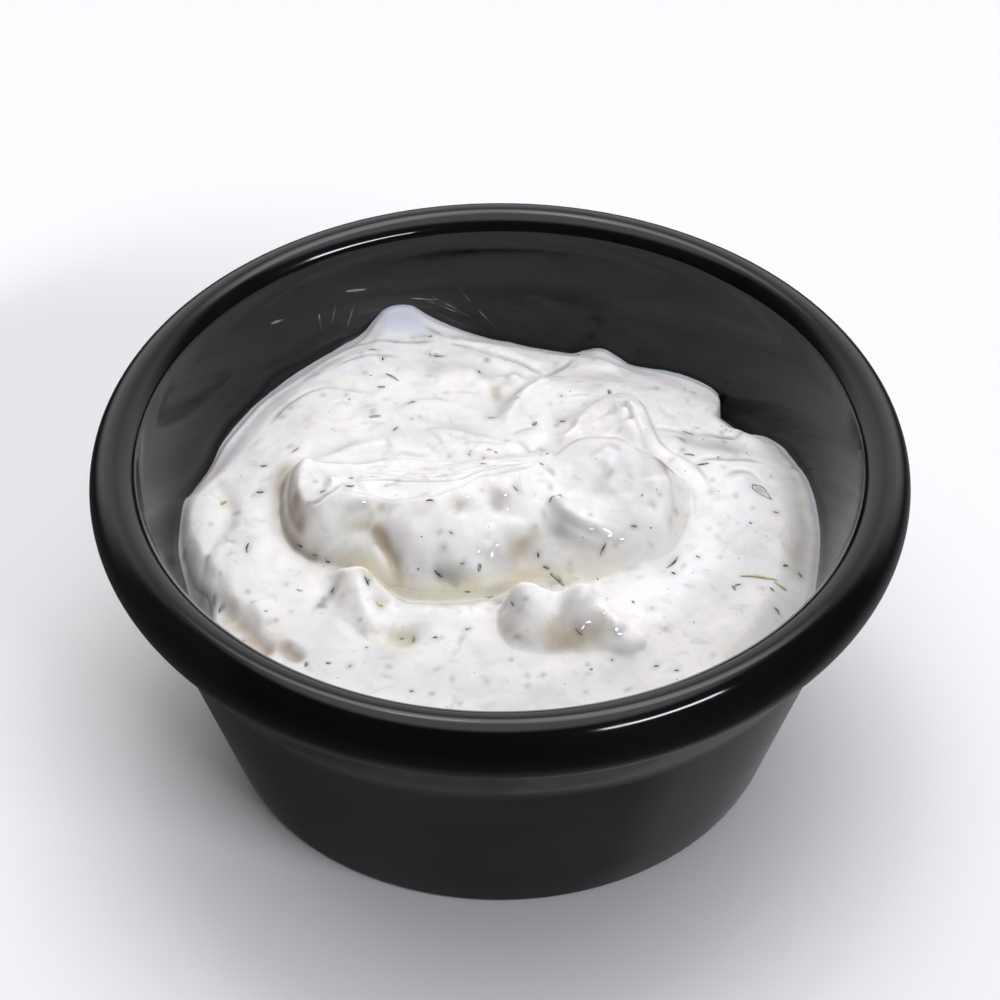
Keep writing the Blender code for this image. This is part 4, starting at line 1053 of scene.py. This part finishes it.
def lay_shred(bm, tree, place, width, thickness, bend, seed, sunk=0.0):
    """A tapered, uneven shred, laid along the surface and half sunk in it, or deeper."""
    x, y, length, turn = place
    point, normal = on_surface(tree, x, y)
    turn = math.radians(turn)
    along = Vector((math.cos(turn), math.sin(turn), 0.0))
    along = (along - normal * along.dot(normal)).normalized()
    across = normal.cross(along)
    shred = bmesh.ops.create_uvsphere(bm, u_segments=6, v_segments=SHRED_RINGS, radius=1.0)["verts"]
    for vert in shred:
        ripple = 1.0 + 0.35 * noise.noise(Vector((vert.co.z * 1.7, seed, vert.co.x)))
        ahead = 0.5 * length * MM * vert.co.z
        aside = 0.5 * width * MM * vert.co.x * ripple + bend * length * MM * (1.0 - vert.co.z ** 2)
        rest, up, _, _ = tree.find_nearest(point + along * ahead + across * aside)
        vert.co = rest + up * (0.5 * thickness * MM * vert.co.y * ripple + (0.02 - sunk) * MM)


def make_herbs(tree):
    """Chopped dill and yellow shreds, lying in the surface; the greener ones lie deeper in the cream."""
    finishes = {"dark": ("dill_dark", (0.045, 0.050, 0.034), (0.26, 0.27, 0.21), 0.026, 0.85),
                "green": ("dill_green", (0.14, 0.15, 0.12), (0.40, 0.41, 0.37), 0.055, 0.85),
                "pale": ("dill_pale", (0.20, 0.21, 0.14), (0.38, 0.39, 0.30), 0.02, 1.6),
                "yellow": ("shreds_yellow", (0.40, 0.38, 0.14), (0.60, 0.57, 0.28), 0.0, 1.0)}
    for kind, (name, dark, light, sunk, breadth) in finishes.items():
        bm = bmesh.new()
        draw = random.Random(21)
        for place in HERBS[kind]:
            width = breadth * min(0.42 * place[2], draw.uniform(0.16, 0.32))
            lay_shred(bm, tree, place, width, 0.16, draw.uniform(-0.12, 0.12), draw.uniform(0.0, 50.0), sunk)
        finish_piece(bm, name, herb_finish(name, dark, light, 1500.0))


def make_flecks(tree):
    """The finest crumbs of dill and pepper."""
    bm = bmesh.new()
    draw = random.Random(9)
    for x, y, size, _ in FLECKS:
        point, normal = on_surface(tree, x, y)
        lay = Matrix.Translation(point) @ normal.to_track_quat('Z', 'Y').to_matrix().to_4x4()
        lay = lay @ Matrix.Diagonal((size * MM, size * draw.uniform(0.5, 1.0) * MM, 0.4 * size * MM, 1.0))
        bmesh.ops.create_icosphere(bm, subdivisions=1, radius=0.5, matrix=lay)
    finish_piece(bm, "dill_flecks", herb_finish("dill_flecks", (0.03, 0.03, 0.025), (0.22, 0.21, 0.17),
                                                       700.0))


def make_thread(tree):
    """One long pale-yellow shred lying at the right."""
    bm = bmesh.new()
    lay_shred(bm, tree, (24.0, -6.5, 3.6, -4), 0.34, 0.30, 0.05, 4.0)
    lay_shred(bm, tree, (26.0, -7.1, 1.6, -25), 0.26, 0.24, -0.06, 7.0)
    finish_piece(bm, "shred_long", herb_finish("shred_long", (0.66, 0.62, 0.30), (0.80, 0.77, 0.50),
                                                        900.0))


LEAF = [(23.9, 5.3), (24.5, 5.4), (25, 5.2), (25.3, 4.6), (25.7, 3.8), (25.2, 4), (24.4, 4.5), (23.9, 4.9)]


def make_leaf(tree):
    """A small folded leaf at the right: its rim as fine shreds, round a grey patch of the surface."""
    bm = bmesh.new()
    for start, end in zip(LEAF, LEAF[1:] + LEAF[:1]):
        length = math.hypot(end[0] - start[0], end[1] - start[1]) + 0.15
        turn = math.degrees(math.atan2(end[1] - start[1], end[0] - start[0]))
        place = ((start[0] + end[0]) / 2, (start[1] + end[1]) / 2, length, turn)
        lay_shred(bm, tree, place, 0.09, 0.10, 0.0, start[0], 0.02)
    finish_piece(bm, "leaf_rim", herb_finish("leaf_rim", (0.10, 0.11, 0.10), (0.26, 0.27, 0.25),
                                                    1200.0))


# Smears on the wall above the dip: direction and height of both ends, and width
SMEARS = [(-146.4, 27, -146.2, 25.4, 0.22), (-149.8, 27.2, -148.6, 25.6, 0.16),
    (-153.6, 26.9, -151.2, 24.6, 0.1), (-152.2, 28.2, -156, 27.8, 0.3), (-163.8, 25.9, -168.6, 25.3, 0.14),
    (-166, 25.6, -173, 23.6, 0.08), (-167.6, 25.8, -174.6, 23.2, 0.07), (-172.4, 26.6, -174.6, 24.8, 0.08),
    (-176, 24, -179.2, 22, 0.08), (-136.6, 28.3, -139.8, 28, 0.24)]


def make_smears():
    """Faint dried streaks where the dip was pushed along the wall."""
    bm = bmesh.new()
    for start, low, end, high, width in SMEARS:
        ends = []
        for around, height in ((start, low), (end, high)):
            turn, radius = math.radians(around), inner_wall(height)
            ends.append(Vector((math.sin(turn) * radius, -math.cos(turn) * radius, height)))
        streak = bmesh.ops.create_uvsphere(bm, u_segments=8, v_segments=12, radius=1.0)["verts"]
        middle, half = (ends[0] + ends[1]) / 2, (ends[1] - ends[0]) / 2
        outward = Vector((middle.x, middle.y, 0.0)).normalized() * math.cos(SLOPE_ANGLE)
        outward.z = -math.sin(SLOPE_ANGLE)
        across = outward.cross(half).normalized()
        for vert in streak:
            ripple = 1.0 + 0.5 * noise.noise(Vector((vert.co.z * 3.0, start, 0.0)))
            place = middle + half * vert.co.z + across * (0.5 * width * vert.co.x * ripple)
            stretch = inner_wall(place.z) / math.hypot(place.x, place.y)
            place = Vector((place.x * stretch, place.y * stretch, place.z)) + outward * (0.03 * vert.co.y)
            vert.co = place * MM
    finish_piece(bm, "wall_smears", herb_finish("dried_smears", (0.04, 0.04, 0.05), (0.22, 0.22, 0.25),
                                                       800.0))


# Whey along the dollop's foot: x, y, half width
WHEY = [(-14.6, -5.5, 0.2), (-13, -6.3, 0.5), (-11.4, -7.2, 0.7), (-10, -8.2, 0.7), (-8.4, -8.8, 0.8),
    (-6.4, -9.1, 0.8), (-4.4, -9.1, 0.8), (-2.4, -8.9, 0.8), (-0.6, -8.4, 0.8), (1, -7.9, 0.8),
    (2.6, -7.3, 0.9), (4.4, -7, 0.8), (6.4, -6.9, 0.6), (8.4, -6.5, 0.4), (10, -6, 0.15)]


def make_whey(tree):
    """Thin whey gathered in the groove along the dollop's foot."""
    bm = bmesh.new()
    path = smooth_path(WHEY)
    rows = np.arange(len(path))
    for vert in bmesh.ops.create_uvsphere(bm, u_segments=12, v_segments=150, radius=1.0)["verts"]:
        row = (0.5 + math.asin(max(-1.0, min(1.0, vert.co.z))) / math.pi) * (len(path) - 1)
        x, y, reach = (np.interp(row, rows, path[:, column]) for column in range(3))
        ahead = path[min(int(row) + 1, len(path) - 1)] - path[max(int(row) - 1, 0)]
        aside = Vector((-ahead[1], ahead[0], 0.0)).normalized()
        reach *= 0.75 + 0.25 * noise.noise(Vector((0.7 * x, y, 3.0)))
        place = Vector((x, y, 0.0)) + aside * (reach * vert.co.x / max(math.cos(math.asin(vert.co.z)), 0.05))
        point, up = on_surface(tree, place.x, place.y)
        vert.co = point + up * ((0.035 * vert.co.y - 0.012) * MM)
    finish_piece(bm, "whey", wet_finish("whey", (0.78, 0.735, 0.60), (0.75, 0.705, 0.56), 0.3))


# Wet beads: x, y, length, width, height, turn
BEADS = [(8.2, -13.8, 1, 0.24, 0.018, -4), (7.6, -14.1, 0.5, 0.22, 0.018, 35),
    (9.5, -13.4, 0.45, 0.3, 0.02, 10), (10.6, -14.8, 0.35, 0.62, 0.022, 8),
    (10.9, -15.1, 0.55, 0.28, 0.018, -15), (-3, -0.7, 0.45, 0.22, 0.014, 5),
    (0.5, -0.1, 0.35, 0.28, 0.014, 0), (0.7, -1.1, 0.4, 0.2, 0.012, 0), (-2, -5.2, 0.55, 0.24, 0.015, 30),
    (-0.3, -4.5, 0.5, 0.26, 0.015, 15), (-12.6, -1.2, 0.7, 0.2, 0.012, 0),
    (8.6, -2.5, 0.8, 0.24, 0.014, -12), (11.3, -2.9, 0.5, 0.26, 0.014, -20),
    (-15.8, 1.9, 0.3, 0.2, 0.012, 0)]


def make_beads(tree):
    """Low wet drops standing on the cream."""
    bm = bmesh.new()
    for x, y, length, width, height, turn in BEADS:
        point, normal = on_surface(tree, x, y)
        leaning = (0.06 * normal + 0.94 * Vector((0.30, -0.68, 0.66))).normalized()
        lay = Matrix.Translation(point + 0.05 * MM * normal)
        lay = lay @ leaning.to_track_quat('Z', 'Y').to_matrix().to_4x4()
        lay = lay @ Matrix.Rotation(math.radians(turn), 4, 'Z')
        drop = bmesh.ops.create_uvsphere(bm, u_segments=20, v_segments=14, radius=0.5)["verts"]
        for vert in drop:
            rise = 2.0 * height * vert.co.z if vert.co.z > 0.0 else 0.8 * width * vert.co.z
            vert.co = lay @ Vector((length * MM * vert.co.x, width * MM * vert.co.y, rise * MM))
    finish_piece(bm, "wet_beads", wet_finish("wet_beads"))


def shape_dip(dip):
    """All of the dip's surface: ground, back, sides, dollop, front, knobs, herb marks and edge."""
    dip.z = ground_height(dip.x, dip.y)
    dip.bar(ROLL, 0.6, 0.45)
    dip.lay(ARCH + BACK + SIDES)
    shape_dollop(dip)
    dip.lay(FACE + DOME + SHELF)
    dip.mound(PEAK_CREST, PEAK_FOOT, -0.3, 0.8, 0.35)
    dip.lay(FRONT)
    dip.mound(KNOB_CREST, KNOB_FOOT, 0.65, 1.0, 0.2)
    dip.lay(KNOBS)
    shape_marks(dip)
    meet_wall(dip)


# ---- dip: mesh

RELAX_ROUNDS = 2
RELAX_STEPS = 10


def relax_grid(x, y, z, detail):
    """Draws a grid's lines together on steep ground and along creases."""
    for _ in range(RELAX_STEPS):
        centre = np.stack([x, y, z])
        total = np.zeros_like(centre[:, 1:-1, 1:-1])
        weights = np.zeros_like(total[0])
        for rows, columns in ((slice(0, -2), slice(1, -1)), (slice(2, None), slice(1, -1)),
                              (slice(1, -1), slice(0, -2)), (slice(1, -1), slice(2, None))):
            neighbour = centre[:, rows, columns]
            length = np.linalg.norm(neighbour - centre[:, 1:-1, 1:-1], axis=0)
            length = length * (1.0 + 3.0 * detail[rows, columns])
            total += neighbour * length
            weights += length
        pulled = total / weights
        x[1:-1, 1:-1] += 0.5 * (pulled[0] - x[1:-1, 1:-1])
        y[1:-1, 1:-1] += 0.5 * (pulled[1] - y[1:-1, 1:-1])
        z[1:-1, 1:-1] += 0.5 * (pulled[2] - z[1:-1, 1:-1])
    return x, y


def blurred(values, times):
    """A grid of values, evened out with its neighbours a number of times."""
    values = values.copy()
    for _ in range(times):
        values[1:-1] = (values[:-2] + 2 * values[1:-1] + values[2:]) / 4
        values[:, 1:-1] = (values[:, :-2] + 2 * values[:, 1:-1] + values[:, 2:]) / 4
    return values


def fine_unevenness(x, y):
    """Small curds and shreds under the surface, as tiny changes of height."""
    change = np.empty(x.size)
    for index, (px, py) in enumerate(zip(x.flat, y.flat)):
        place = Vector((px, py, 0.0))
        change[index] = (0.085 * noise.noise(place * 0.42) + 0.045 * noise.noise(place * 0.95)
                         + 0.016 * noise.noise(place * 2.3))
    return change.reshape(x.shape)


def close_below(bm):
    """A skirt from the surface's edge down the ramekin's wall to its floor, and a face across it."""
    skirt = [(inner_wall(height) + INTO_WALL, height) for height in (17.0, 12.0)]
    skirt += reversed(arc(floor_turn(), FLOOR_CORNER - INTO_WALL, -math.pi / 2, -SLOPE_ANGLE, 3))
    ring = [edge for edge in bm.edges if edge.is_boundary]
    for radius, height in skirt:
        extruded = bmesh.ops.extrude_edge_only(bm, edges=ring)["geom"]
        ring = [item for item in extruded if isinstance(item, bmesh.types.BMEdge)]
        for vert in {vert for edge in ring for vert in edge.verts}:
            scale = radius * MM / math.hypot(vert.co.x, vert.co.y)
            vert.co = (vert.co.x * scale, vert.co.y * scale, height * MM)
    bmesh.ops.contextual_create(bm, geom=ring)
    bmesh.ops.recalc_face_normals(bm, faces=bm.faces)


def make_dip():
    """A square grid drawn out to a disc and raised, closed below. Gives a tree of its surface."""
    bm = bmesh.new()
    bmesh.ops.create_grid(bm, x_segments=GRID_CELLS, y_segments=GRID_CELLS, size=1.0)
    square = np.array([vert.co[:2] for vert in bm.verts])
    side = GRID_CELLS + 1
    across = square[:, 0] * np.sqrt(1.0 - square[:, 1] ** 2 / 2.0)
    deep = square[:, 1] * np.sqrt(1.0 - square[:, 0] ** 2 / 2.0)
    reach = inner_wall(edge_level(across, deep)) + INTO_WALL
    x, y = (across * reach).reshape(side, side), (deep * reach).reshape(side, side)
    for _ in range(RELAX_ROUNDS):
        draft = Surface(x.ravel(), y.ravel())
        shape_dip(draft)
        detail = blurred(np.clip(draft.grey, 0.0, 0.6).reshape(side, side), 2)
        x, y = relax_grid(x, y, draft.z.reshape(side, side), detail)
    dip = Surface(x.ravel(), y.ravel())
    shape_dip(dip)
    z = dip.z.reshape(side, side) + fine_unevenness(x, y)
    # painted shade: places lying below their surroundings are tinted warm brown
    dip.hollow += 0.4 * np.clip((blurred(z, 90) - z) / 0.9, 0.0, 1.0).ravel()
    for vert, place in zip(bm.verts, np.column_stack([x.ravel(), y.ravel(), z.ravel()]) * MM):
        vert.co = place
    for name in TINTS:
        layer = bm.verts.layers.float.new(name)
        for vert, value in zip(bm.verts, np.clip(getattr(dip, name), 0.0, 1.0)):
            vert[layer] = value
    close_below(bm)
    tree = BVHTree.FromBMesh(bm)
    piece = finish_piece(bm, "dip_surface", yoghurt_finish())
    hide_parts("dip")
    return tree


# ---- studio

# Soft-edged panels: direction round from the front, height over level, half width, half height and edge
# in degrees, and the colour of their light
PANELS = [
    (180, 24, 60, 26, 16, (1.10, 1.10, 1.13)),      # pale wall behind
    (0, 90, 181, 30, 8, (1.62, 1.59, 1.68)),        # ceiling softbox
    (170, 68, 50, 12, 8, (3.0, 2.98, 3.02)),        # its brighter back
    (44, 34, 17, 2.4, 0.9, (28.0, 28.6, 30.0)),     # strip at the front right
    (-163, 72, 12, 0.7, 0.4, (15.0, 14.4, 13.8)),   # thin strip overhead
    (0, -90, 181, 22, 10, (0.08, 0.08, 0.085)),     # table, straight below
    (140, -52, 40, 22, 15, (0.16, 0.155, 0.16))]    # table, behind right


def world_light():
    """A dark studio with the panels, added up by direction."""
    world = bpy.data.worlds.new("studio")
    bpy.context.scene.world = world
    world.use_nodes = True
    tree = world.node_tree
    direction = put(tree, "ShaderNodeTexCoord").outputs["Generated"]
    parts = put(tree, "ShaderNodeSeparateXYZ", {"Vector": direction}).outputs
    around = maths(tree, 'ARCTAN2', parts["X"], maths(tree, 'MULTIPLY', parts["Y"], -1.0))
    above = maths(tree, 'ARCSINE', parts["Z"])
    light = mix_colour(tree, shade_range(tree, above, math.radians(-60), math.radians(-5), 0.0, 1.0),
                       (0.06, 0.06, 0.065), (0.02, 0.02, 0.022))
    for azimuth, elevation, half_width, half_height, edge, colour in PANELS:
        turned = maths(tree, 'SUBTRACT', around, math.radians(azimuth))
        turned = maths(tree, 'WRAP', turned, -math.pi, math.pi)
        raised = maths(tree, 'SUBTRACT', above, math.radians(elevation))
        wide, high = (shade_range(tree, maths(tree, 'ABSOLUTE', away), math.radians(half - edge),
                                  math.radians(half + edge), 1.0, 0.0)
                      for away, half in ((turned, half_width), (raised, half_height)))
        light = mix_colour(tree, maths(tree, 'MULTIPLY', wide, high), light, colour, 'ADD')
    fill(tree, tree.nodes["Background"], {"Color": light, "Strength": 1.0})


def make_floor():
    bm = bmesh.new()
    bmesh.ops.create_grid(bm, x_segments=1, y_segments=1, size=4.0)
    mesh = bpy.data.meshes.new("floor")
    bm.to_mesh(mesh)
    bm.free()
    material, tree, shader = start_finish("pale_floor")
    fill(tree, shader, {"Base Color": (0.90, 0.90, 0.90, 1.0), "Roughness": 0.9, "Specular IOR Level": 0.1})
    mesh.materials.append(material)
    floor = bpy.data.objects.new("floor", mesh)
    bpy.context.scene.collection.objects.link(floor)
    floor.visible_glossy = False


def make_camera():
    camera = bpy.data.cameras.new("camera")
    camera.lens = CAMERA_LENS
    camera.sensor_width = CAMERA_SENSOR
    camera.clip_start = 0.01
    camera.clip_end = 20.0
    holder = bpy.data.objects.new("camera", camera)
    holder.location = (0.0, -CAMERA_BACK * RIM_RADIUS * MM, CAMERA_UP * RIM_RADIUS * MM)
    holder.rotation_euler = (math.radians(90.0 - CAMERA_TILT), 0.0, 0.0)
    bpy.context.scene.collection.objects.link(holder)
    bpy.context.scene.camera = holder


make_camera()
world_light()
make_floor()
make_ramekin()
dip_tree = make_dip()
make_herbs(dip_tree)
make_flecks(dip_tree)
make_thread(dip_tree)
make_leaf(dip_tree)
make_whey(dip_tree)
make_beads(dip_tree)
make_smears()
bpy.context.scene.view_settings.view_transform = 'Standard'
